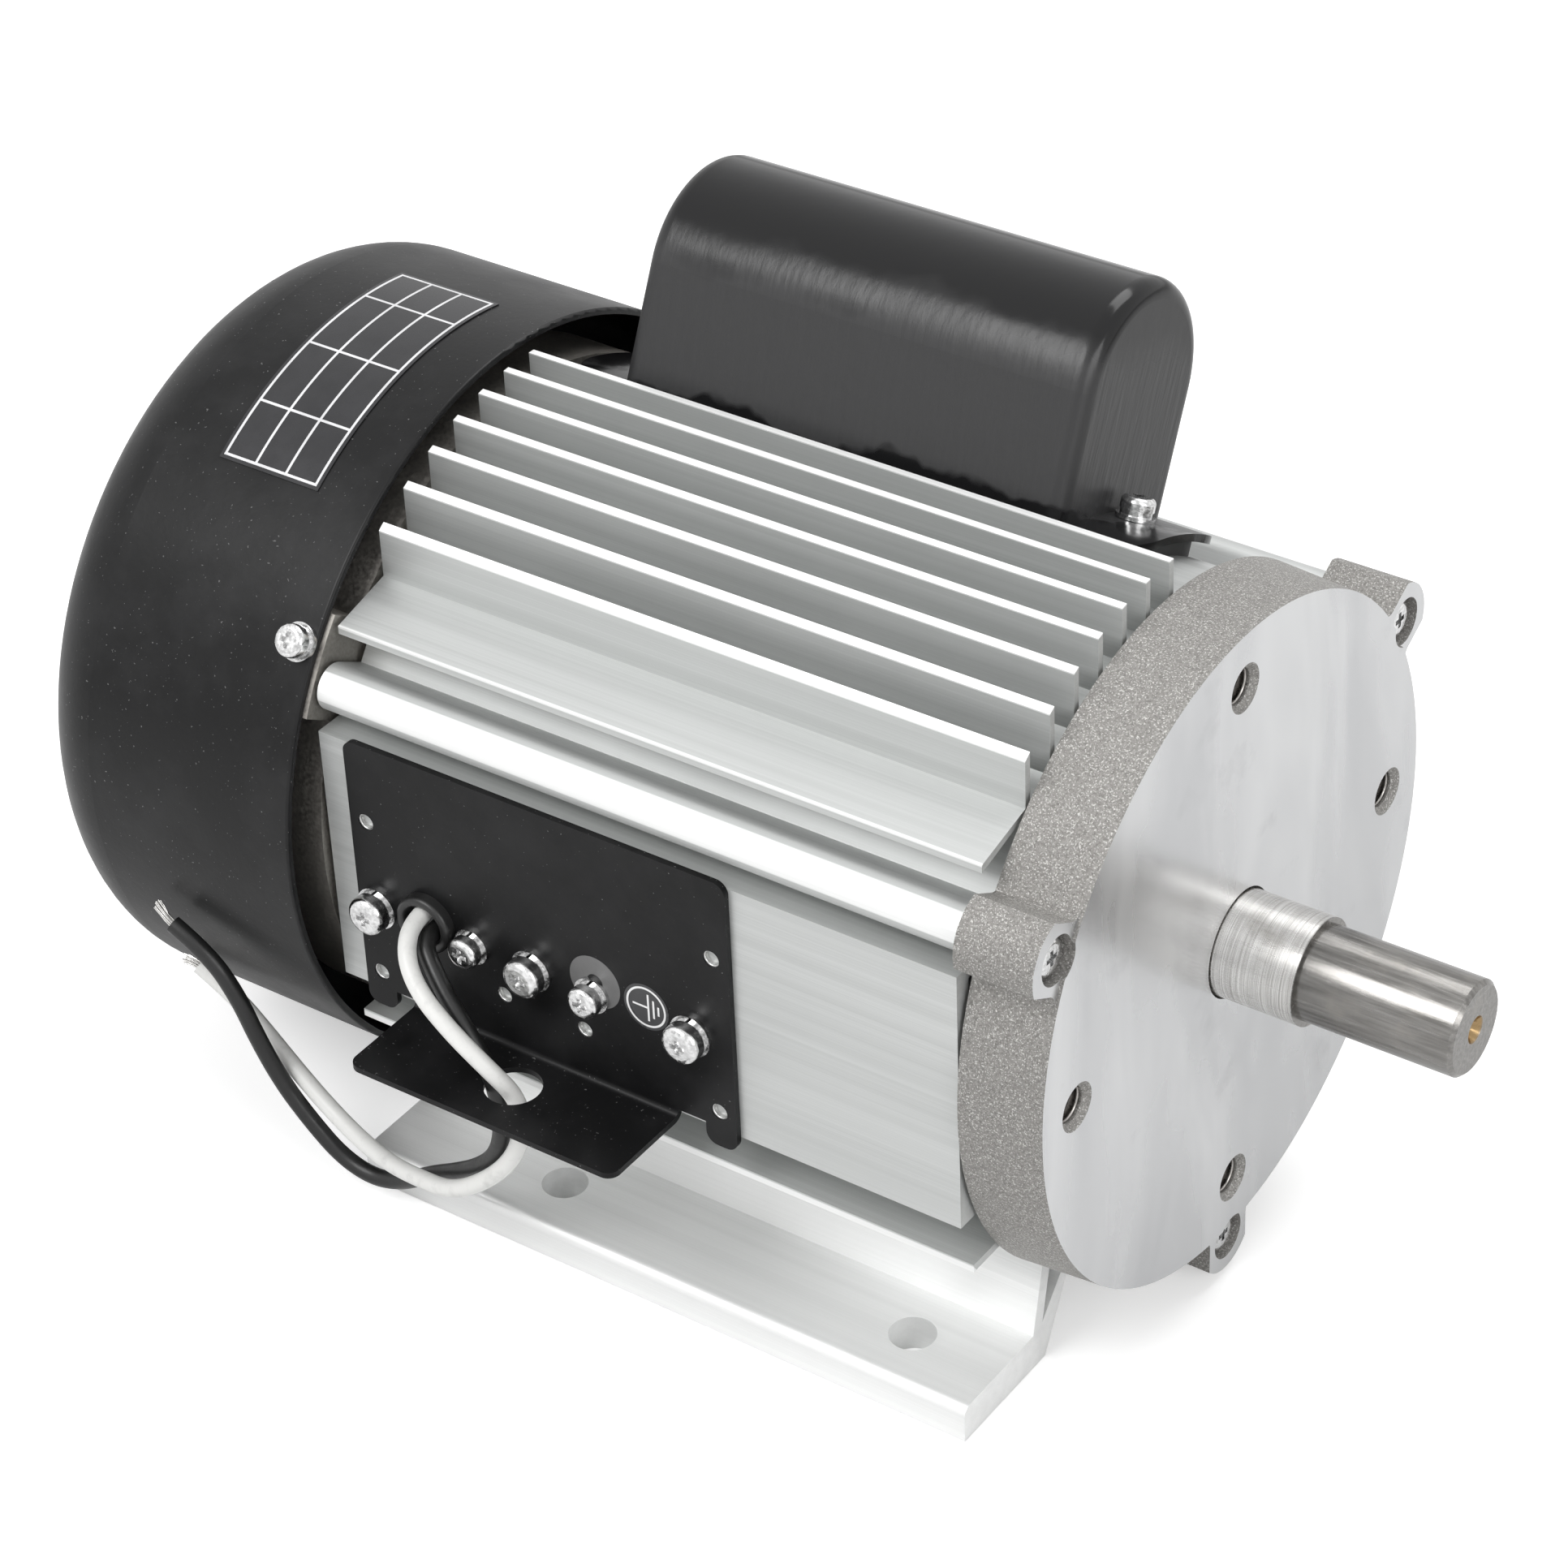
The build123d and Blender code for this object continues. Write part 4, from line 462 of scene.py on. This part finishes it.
def ground_steel():
    """Shaft: fine rings on the collar, lengthwise polish on the output end, rust in its centre."""
    shader = Shader("ground_steel", (0.50, 0.485, 0.46), metallic=1.0, roughness=0.26)
    collar = shader.ramp(shader.axis("X"), COLLAR_END - COLLAR_FADE, COLLAR_END, 1.0, 0.0)
    rings = shader.noise((5200, 30, 30), detail=4.0, rough=0.7)
    polish = shader.noise((60, 900, 900), detail=4.0)
    patches = shader.noise(110, detail=4.0)
    turned = shader.mix(shader.ramp(rings, 0.38, 0.62), TURNED_DARK, TURNED_LIGHT)
    drawn = shader.mix(shader.ramp(polish, 0.35, 0.65), DRAWN_DARK, DRAWN_LIGHT)
    tone = shader.mix(collar, drawn, turned)
    tone = shader.mix(shader.ramp(patches, 0.55, 0.75, 0.0, 0.5), tone, STEEL_PATCH)
    in_centre = shader.ramp(shader.radius(), CENTRE_RUST_RADIUS, CENTRE_CLEAN_RADIUS, 1.0, 0.0)
    rust_start = SHAFT_END - CENTRE_RUST_DEPTH
    at_end = shader.ramp(shader.axis("X"), rust_start, rust_start + CENTRE_RUST_FADE)
    shader.color(shader.mix(shader.maths("MULTIPLY", in_centre, at_end), tone, RUST))
    polished = shader.ramp(polish, 0.3, 0.7, 0.16, 0.30)
    shader.roughness(shader.maths("ADD", polished, shader.maths("MULTIPLY", collar, 0.05)))
    first = shader.bump(rings, 0.00002, 0.6)
    shader.bump(polish, 0.00001, 0.5, after=first)
    return shader.material


def zinc(name, tone):
    """Bright zinc plating with soft dents and darker patches."""
    shader = Shader(name, tone, metallic=1.0, roughness=0.16)
    patches = shader.noise(900, detail=4.0)
    dark = tuple(channel * 0.62 for channel in tone)
    shader.color(shader.mix(shader.ramp(patches, 0.35, 0.62), dark, tone))
    shader.roughness(shader.ramp(patches, 0.3, 0.7, 0.10, 0.28))
    shader.bump(shader.noise(700, detail=3.0), 0.00012, 0.6)
    return shader.material


def black_paint(name, tone, low, high, peel, gloss):
    """Satin stoving enamel with faint orange peel, dust and rubbed places."""
    shader = Shader(name, tone, roughness=low, Specular_IOR_Level=gloss)
    wear = shader.noise(45, detail=5.0)
    dust = shader.ramp(shader.noise(1400, detail=1.0), 0.735, 0.76, 0.0, 0.35)
    brightened = tuple(channel * 1.9 + 0.004 for channel in tone)
    base = shader.mix(shader.ramp(wear, 0.45, 0.75), tone, brightened)
    shader.color(shader.mix(dust, base, DUST))
    shader.roughness(shader.ramp(wear, 0.3, 0.7, low, high))
    first = shader.bump(shader.noise(520, detail=2.0), peel, 0.5)
    shader.bump(shader.noise(3600, detail=2.0), 0.00001, 0.4, after=first)
    return shader.material


def capacitor_black():
    """Drawn cover in thick enamel: streaked up the sides, glossy and smooth over the round top."""
    shader = Shader("capacitor_black", (0.010, 0.010, 0.011), roughness=0.3, Specular_IOR_Level=0.36)
    height = shader.along(CAP_DIRECTION, (0, 0, AXIS_Z))
    patches = shader.noise(40, detail=3.0)
    wander = shader.ramp(patches, 0.3, 0.7, -CAP_LEVEL_WANDER, CAP_LEVEL_WANDER)
    level = shader.maths("ADD", height, wander)
    side = shader.ramp(level, *CAP_STREAKS_FADE, 1.0, 0.0)
    foot = shader.ramp(level, CAP_FOOT, CAP_FOOT + CAP_FOOT_FADE)
    grained = shader.maths("MULTIPLY", side, foot)
    streaks = shader.turned_noise((520, 520, 70), CAP_ACROSS, CAP_DIRECTION)
    peel = shader.noise(170, detail=2.0)
    shader.roughness(shader.ramp(grained, 0.0, 1.0, 0.16, 0.36))
    shader.color(shader.mix(grained, CAP_GLOSSY, CAP_STREAKED))
    first = shader.bump(streaks, 0.00022, shader.maths("MULTIPLY", grained, 0.7))
    shader.bump(peel, 0.00012, 0.35, after=first)
    return shader.material


def lead_jacket(name, tone, roughness):
    """Extruded insulation with faint scuffs."""
    shader = Shader(name, tone, roughness=roughness)
    scuffs = shader.noise(260, detail=5.0)
    grimy = tuple(channel * 0.72 for channel in tone)
    shader.color(shader.mix(shader.ramp(scuffs, 0.52, 0.80, 0.0, 0.8), tone, grimy))
    shader.roughness(shader.ramp(scuffs, 0.3, 0.7, roughness, roughness + 0.16))
    shader.bump(shader.noise(900, detail=3.0), 0.00006, 0.5)
    return shader.material


def moulded(name, tone, roughness, grain=800, depth=0.00005):
    """Moulded plastic, rubber or varnish with a fine grain."""
    shader = Shader(name, tone, roughness=roughness)
    cloud = shader.noise(90, detail=4.0)
    lighter = tuple(min(1.0, channel * 1.35 + 0.004) for channel in tone)
    shader.color(shader.mix(shader.ramp(cloud, 0.3, 0.7), tone, lighter))
    shader.roughness(shader.ramp(cloud, 0.3, 0.7, roughness - 0.06, roughness + 0.08))
    shader.bump(shader.noise(grain, detail=3.0), depth, 0.5)
    return shader.material


def plain_metal(name, tone, roughness, lines=(400, 400, 400)):
    """Metal with darker marks, drawn out where the scale of the lines differs by axis."""
    shader = Shader(name, tone, metallic=1.0, roughness=roughness)
    marks = shader.noise(lines, detail=4.0)
    darker = tuple(channel * 0.7 for channel in tone)
    shader.color(shader.mix(shader.ramp(marks, 0.3, 0.7), darker, tone))
    shader.roughness(shader.ramp(marks, 0.3, 0.7, roughness - 0.06, roughness + 0.1))
    shader.bump(marks, 0.00003, 0.5)
    return shader.material


def finish_nodes():
    """Give every carried-over piece its material."""
    screw = zinc("bright_zinc", (0.90, 0.90, 0.90))
    washer = zinc("zinc_washer", (0.82, 0.82, 0.82))
    steel = plain_metal("bearing_steel", (0.62, 0.62, 0.62), 0.2)
    laminated = plain_metal("lamination_steel", (0.30, 0.30, 0.31), 0.45, (3000, 200, 200))
    cast = plain_metal("cage_aluminium", (0.62, 0.62, 0.62), 0.42, (300, 300, 300))
    copper = plain_metal("winding_copper", (0.55, 0.23, 0.09), 0.34, (900, 900, 900))
    pressed = plain_metal("pressed_steel", (0.52, 0.50, 0.42), 0.3, (200, 600, 200))
    shafting = ground_steel()
    tinned = plain_metal("tinned_wire", (0.80, 0.79, 0.77), 0.24, (900, 900, 900))
    bell = plain_metal("bell_casting", (0.42, 0.40, 0.37), 0.5, (1200, 1200, 1200))
    cover = black_paint("cover_enamel", (0.0080, 0.0080, 0.0084), 0.30, 0.42, 0.00006, 0.23)
    plate = black_paint("plate_enamel", (0.0060, 0.0060, 0.0064), 0.32, 0.44, 0.00004, 0.19)
    finishes = {
        "motor_frame": extruded_aluminium(),
        "front_flange": cast_aluminium(),
        "rear_end_bell": bell,
        "fan_cover": cover,
        "terminal_plate": plate,
        "capacitor_cover": capacitor_black(),
        "capacitor_gasket": moulded("gasket_rubber", (0.012, 0.012, 0.012), 0.6),
        "rating_label": moulded("label_film", (0.016, 0.016, 0.018), 0.26, 200, 0.00002),
        "lead_grommet": moulded("grommet_rubber", (0.012, 0.012, 0.012), 0.36),
        "shaft": shafting,
        "start_capacitor": moulded("capacitor_can", (0.03, 0.03, 0.034), 0.3),
        "cooling_fan": moulded("fan_nylon", (0.045, 0.045, 0.045), 0.42),
        "governor_collar": moulded("collar_nylon", (0.50, 0.44, 0.30), 0.4),
        "switch_board": moulded("board_laminate", (0.16, 0.09, 0.04), 0.45),
        "rotor_cage": cast,
    }
    groups = {
        screw: (
            "through_bolts",
            "fan_cover_screws",
            "plate_screws",
            "terminal_screws",
            "capacitor_cover_screws",
            "switch_board_screws",
        ),
        washer: (
            "fan_cover_lock_washers",
            "fan_cover_flat_washers",
            "plate_lock_washers",
            "plate_flat_washers",
            "terminal_lock_washers",
            "terminal_flat_washers",
            "capacitor_lock_washers",
            "capacitor_flat_washers",
        ),
        steel: (
            "front_bearing_inner_race",
            "front_bearing_outer_race",
            "front_bearing_balls",
            "rear_bearing_inner_race",
            "rear_bearing_outer_race",
            "rear_bearing_balls",
            "rear_wave_washer",
        ),
        shafting: ("fan_retaining_clip", "governor_pins", "contact_arm_pin"),
        laminated: ("stator_core", "rotor_core"),
        copper: ("main_winding", "start_winding", "fixed_contact", "capacitor_terminals"),
        pressed: (
            "governor_base",
            "governor_spring",
            "upper_flyweight",
            "lower_flyweight",
            "contact_arm",
        ),
        tinned: ("black_lead_strands", "white_lead_strands"),
    }
    for material, names in groups.items():
        for name in names:
            finishes[name] = material
    for name, node in nodes.items():
        if name in finishes:
            set_material(node, finishes[name])
    return tinned


def set_material(piece, material):
    if not piece.data.materials:
        piece.data.materials.append(material)
    for index in range(len(piece.data.materials)):
        piece.data.materials[index] = material


def add_piece(name, build, material, smooth=True):
    """Piece on the motor's body, made by a function that fills a bmesh."""
    work = bmesh.new()
    build(work)
    bmesh.ops.recalc_face_normals(work, faces=work.faces)
    mesh = bpy.data.meshes.new(name)
    work.to_mesh(mesh)
    work.free()
    for face in mesh.polygons:
        face.use_smooth = smooth
    piece = bpy.data.objects.new(name, mesh)
    bpy.context.scene.collection.objects.link(piece)
    set_material(piece, material)
    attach(piece, "motor_body")


def add_curve(name, lines, radius, roundness, steps, material):
    """Round cord or wires along smooth lines, on the motor's body."""
    data = bpy.data.curves.new(name, "CURVE")
    data.dimensions = "3D"
    data.bevel_depth = radius
    data.bevel_resolution = roundness
    data.resolution_u = steps
    data.use_fill_caps = True
    for line in lines:
        spline = data.splines.new("NURBS")
        spline.points.add(len(line) - 1)
        for point, place in zip(spline.points, line):
            point.co = (*place, 1)
        spline.order_u = 3
        spline.use_endpoint_u = True
    piece = bpy.data.objects.new(name, data)
    bpy.context.scene.collection.objects.link(piece)
    data.materials.append(material)
    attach(piece, "motor_body")
    return piece


def wire_lines(route, length, bend, seed):
    """Thin wires that leave the end of the insulation, bend up or down and fan out a little."""
    chance = random.Random(seed)
    end = Vector(route[-1])
    ahead = (end - Vector(route[-2])).normalized()
    side = ahead.cross(Vector((0, 0, 1))).normalized()
    up = side.cross(ahead)
    lines = []
    for index in range(WIRE_COUNT):
        angle = index * WIRE_TURN
        radius = BUNDLE_RADIUS * math.sqrt((index + 0.5) / WIRE_COUNT)
        outward = side * math.cos(angle) + up * math.sin(angle)
        reach = length * chance.uniform(*WIRE_REACH)
        spread = outward * chance.uniform(*WIRE_SPREAD)
        line = []
        for step in range(WIRE_POINTS):
            share = step / (WIRE_POINTS - 1)
            ripple = math.sin(share * WIRE_WAVE + angle) * WIRE_RIPPLE
            place = end - ahead * WIRE_ROOT + ahead * (reach + WIRE_ROOT) * share
            place += outward * radius + spread * share * share
            place += up * (bend * share * share + ripple)
            line.append(place)
        lines.append(line)
    return lines


def add_leads(wire):
    """Two free leads with stripped ends, in place of the plain tubes."""
    black = lead_jacket("black_jacket", (0.012, 0.012, 0.012), 0.28)
    white = lead_jacket("white_jacket", (0.78, 0.78, 0.76), 0.34)
    leads = (
        ("black", BLACK_ROUTE, BLACK_LENGTH, black, BLACK_WIRES),
        ("white", WHITE_ROUTE, WHITE_LENGTH, white, WHITE_WIRES),
    )
    for color, route, length, jacket, (strip, bend, seed) in leads:
        piece = add_curve(color + "_lead_jacket", [route], LEAD_DIAMETER / 2, 8, 16, jacket)
        lines = wire_lines(route, strip, bend, seed)
        wires = add_curve(color + "_lead_wires", lines, WIRE_RADIUS, 3, 12, wire)
        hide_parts(color + "_lead")
        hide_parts(color + "_lead_strands")


def revolved(work, profile, origin, axis, steps=48):
    """Closed ring of a profile of (radius, depth) pairs round an axis."""
    axis = Vector(axis).normalized()
    side = axis.orthogonal().normalized()
    up = axis.cross(side)
    rings = []
    for step in range(steps):
        angle = 2 * math.pi * step / steps
        outward = side * math.cos(angle) + up * math.sin(angle)
        rings.append([work.verts.new(Vector(origin) + outward * r + axis * d) for r, d in profile])
    for first, second in zip(rings, rings[1:] + rings[:1]):
        for index in range(len(profile)):
            after = (index + 1) % len(profile)
            work.faces.new((first[index], second[index], second[after], first[after]))


def thread_profile(radius, depth, pitch, height):
    """Teeth that stand inwards from a hole's wall, closed behind it."""
    profile = [(radius, -0.3 * pitch)]
    teeth = int((depth - pitch) / pitch)
    for tooth in range(teeth):
        start = -(tooth + 0.5) * pitch
        profile.append((radius - height, start - 0.15 * pitch))
        profile.append((radius - height, start - 0.35 * pitch))
        profile.append((radius - 0.15 * height, start - 0.85 * pitch))
    profile.append((radius, -depth))
    return profile


def add_threads():
    """Threads in the flange's four holes and in the plate's six small ones."""
    metal = plain_metal("thread_metal", (0.50, 0.48, 0.46), 0.26)
    bright = plain_metal("tapped_edge", (0.78, 0.78, 0.77), 0.3)

    def flange_threads(work):
        depth = FLANGE_HOLE_DEPTH - FLANGE_THREAD_START
        profile = thread_profile(FLANGE_HOLE_RADIUS, depth, FLANGE_THREAD_PITCH, FLANGE_THREAD_HEIGHT)
        for index in range(FLANGE_HOLE_COUNT):
            angle = math.radians(360 * index / FLANGE_HOLE_COUNT)
            place = Vector((FLANGE_FACE - FLANGE_THREAD_START, math.cos(angle), math.sin(angle)))
            place.y *= FLANGE_HOLE_CIRCLE
            place.z = place.z * FLANGE_HOLE_CIRCLE + AXIS_Z
            revolved(work, profile, place, (1, 0, 0))

    def plate_threads(work):
        profile = thread_profile(TAP_RADIUS, PLATE_THREAD_DEPTH, PLATE_THREAD_PITCH, PLATE_THREAD_HEIGHT)
        for x, height in TAPPED_HOLES:
            revolved(work, profile, (x, PLATE_FACE_Y, AXIS_Z + height), (0, -1, 0), 28)

    add_piece("flange_hole_threads", flange_threads, metal)
    add_piece("plate_hole_threads", plate_threads, bright)


def on_cover(x, angle, radius):
    """Point at a distance from the shaft line, at an angle in degrees round it."""
    turn = math.radians(angle)
    return Vector((x, radius * math.cos(turn), AXIS_Z + radius * math.sin(turn)))


def curved_strip(work, x_range, angles, low, high, steps):
    """Thin raised strip that follows the round cover."""
    rows = []
    for step in range(steps + 1):
        angle = angles[0] + (angles[1] - angles[0]) * step / steps
        corners = ((x_range[0], low), (x_range[1], low), (x_range[1], high), (x_range[0], high))
        rows.append([work.verts.new(on_cover(x, angle, r)) for x, r in corners])
    for first, second in zip(rows, rows[1:]):
        for index in range(4):
            after = (index + 1) % 4
            work.faces.new((first[index], second[index], second[after], first[after]))
    work.faces.new(rows[0][::-1])
    work.faces.new(rows[-1])


def add_label_grid():
    """White printed table of empty cells: three rows along the shaft, four round the cover."""
    ink = moulded("label_ink", (0.62, 0.62, 0.63), 0.4)
    low = LABEL_TOP - LABEL_INK_SUNK
    high = LABEL_TOP + LABEL_INK_PROUD
    half = LABEL_LINE / 2
    half_turn = math.degrees(LABEL_LINE / COVER_RADIUS) / 2
    margin_turn = math.degrees(LABEL_MARGIN / COVER_RADIUS)
    x_low, x_high = LABEL_X[0] + LABEL_MARGIN, LABEL_X[1] - LABEL_MARGIN
    angle_low, angle_high = LABEL_ANGLES[0] + margin_turn, LABEL_ANGLES[1] - margin_turn

    def grid(work):
        for row in range(LABEL_ROWS + 1):
            x = x_low + (x_high - x_low) * row / LABEL_ROWS
            curved_strip(work, (x - half, x + half), (angle_low, angle_high), low, high, 40)
        for edge in LABEL_COLUMN_EDGES:
            angle = angle_low + (angle_high - angle_low) * edge
            ends = (angle - half_turn, angle + half_turn)
            curved_strip(work, (x_low - half, x_high + half), ends, low, high, 1)

    add_piece("label_grid", grid, ink, smooth=False)


def flat_ring(work, centre, radii, heights, steps=64):
    """Flat ring or disc on the terminal plate; centre is (x, height over the shaft)."""
    inner, outer = radii
    low, high = heights
    profile = [(inner, low), (outer, low), (outer, high), (inner, high)]
    revolved(work, profile, (centre[0], PLATE_FACE_Y, AXIS_Z + centre[1]), (0, -1, 0), steps)


def flat_bar(work, x_range, z_range, heights):
    """Flat bar on the terminal plate, between two distances along it and over the shaft."""
    corners = []
    for depth in heights:
        for x, z in ((0, 0), (1, 0), (1, 1), (0, 1)):
            corners.append(work.verts.new((x_range[x], PLATE_FACE_Y - depth, AXIS_Z + z_range[z])))
    for face in ((0, 1, 2, 3), (4, 5, 6, 7), (0, 1, 5, 4), (1, 2, 6, 5), (2, 3, 7, 6), (3, 0, 4, 7)):
        work.faces.new([corners[index] for index in face])


def add_earth_mark():
    """Paint-free spot round the earth screw, and the standard earth sign beside it."""
    bare = moulded("bare_spot", (0.115, 0.115, 0.115), 0.42)
    sticker = moulded("earth_sticker", (0.040, 0.040, 0.042), 0.3)
    ink = moulded("earth_ink", (0.72, 0.72, 0.72), 0.4)

    def spot(work):
        flat_ring(work, EARTH_SCREW, (EARTH_SCREW_RADIUS, BARE_SPOT_RADIUS), (0.0, BARE_SPOT_HEIGHT))

    def disc(work):
        flat_ring(work, EARTH_SIGN, (EARTH_DISC_CENTRE, EARTH_DISC_RADIUS), (0.0, EARTH_DISC_HEIGHT))

    def sign(work):
        flat_ring(work, EARTH_SIGN, EARTH_RING, EARTH_INK)
        x, z = EARTH_SIGN
        half = EARTH_LINE_HALF
        stem = (x + EARTH_STEM[0], x + EARTH_STEM[1])
        flat_bar(work, stem, (z - half, z + half), EARTH_INK)
        for offset, reach in EARTH_BARS:
            bar = (x + offset - half, x + offset + half)
            flat_bar(work, bar, (z - reach, z + reach), EARTH_INK)

    add_piece("earth_bare_spot", spot, bare, smooth=False)
    add_piece("earth_sign_disc", disc, sticker, smooth=False)
    add_piece("earth_sign_lines", sign, ink, smooth=False)


def add_floor():
    """Pale floor that the camera sees lighter, so that it turns white and keeps the shadow."""
    mesh = bpy.data.meshes.new("floor")
    square = ((-1, -1), (1, -1), (1, 1), (-1, 1))
    corners = [(x * FLOOR_REACH, y * FLOOR_REACH, 0) for x, y in square]
    mesh.from_pydata(corners, [], [(0, 1, 2, 3)])
    floor = bpy.data.objects.new("floor", mesh)
    bpy.context.scene.collection.objects.link(floor)
    floor.location.z = -FLOOR_DROP
    material = bpy.data.materials.new("floor")
    material.use_nodes = True
    tree = material.node_tree
    bsdf = tree.nodes["Principled BSDF"]
    bsdf.inputs["Base Color"].default_value = (0.86, 0.86, 0.86, 1)
    bsdf.inputs["Roughness"].default_value = 0.9
    bsdf.inputs["Specular IOR Level"].default_value = 0.1
    bsdf.inputs["Emission Color"].default_value = (1, 1, 1, 1)
    path = tree.nodes.new("ShaderNodeLightPath")
    lift = tree.nodes.new("ShaderNodeMath")
    lift.operation = "MULTIPLY"
    lift.inputs[1].default_value = FLOOR_LIFT
    tree.links.new(path.outputs["Is Camera Ray"], lift.inputs[0])
    tree.links.new(lift.outputs[0], bsdf.inputs["Emission Strength"])
    mesh.materials.append(material)


def add_world():
    """White surroundings: dim as light, full white to the camera and in gloss or glass."""
    world = bpy.data.worlds.new("studio")
    bpy.context.scene.world = world
    world.use_nodes = True
    tree = world.node_tree
    background = tree.nodes["Background"]
    background.inputs["Color"].default_value = (1, 1, 1, 1)
    path = tree.nodes.new("ShaderNodeLightPath")
    total = path.outputs["Is Camera Ray"]
    for ray in ("Is Glossy Ray", "Is Transmission Ray"):
        both = tree.nodes.new("ShaderNodeMath")
        both.operation = "ADD"
        tree.links.new(total, both.inputs[0])
        tree.links.new(path.outputs[ray], both.inputs[1])
        total = both.outputs[0]
    level = tree.nodes.new("ShaderNodeMapRange")
    tree.links.new(total, level.inputs["Value"])
    level.inputs["To Min"].default_value = WORLD_LIGHT
    level.inputs["To Max"].default_value = WORLD_SEEN
    tree.links.new(level.outputs["Result"], background.inputs["Strength"])


def add_lamps():
    """Soft rectangular lamps that face the motor."""
    for name, place, size, power in LAMPS:
        data = bpy.data.lights.new(name, "AREA")
        data.shape = "RECTANGLE"
        data.size, data.size_y = size
        data.energy = power
        lamp = bpy.data.objects.new(name, data)
        bpy.context.scene.collection.objects.link(lamp)
        lamp.location = place
        lamp.rotation_euler = (LAMP_TARGET - Vector(place)).to_track_quat("-Z", "Y").to_euler()


def main():
    add_camera()
    bpy.context.scene.view_settings.view_transform = "Standard"
    wire = finish_nodes()
    add_leads(wire)
    add_threads()
    add_label_grid()
    add_earth_mark()
    add_floor()
    add_world()
    add_lamps()


main()
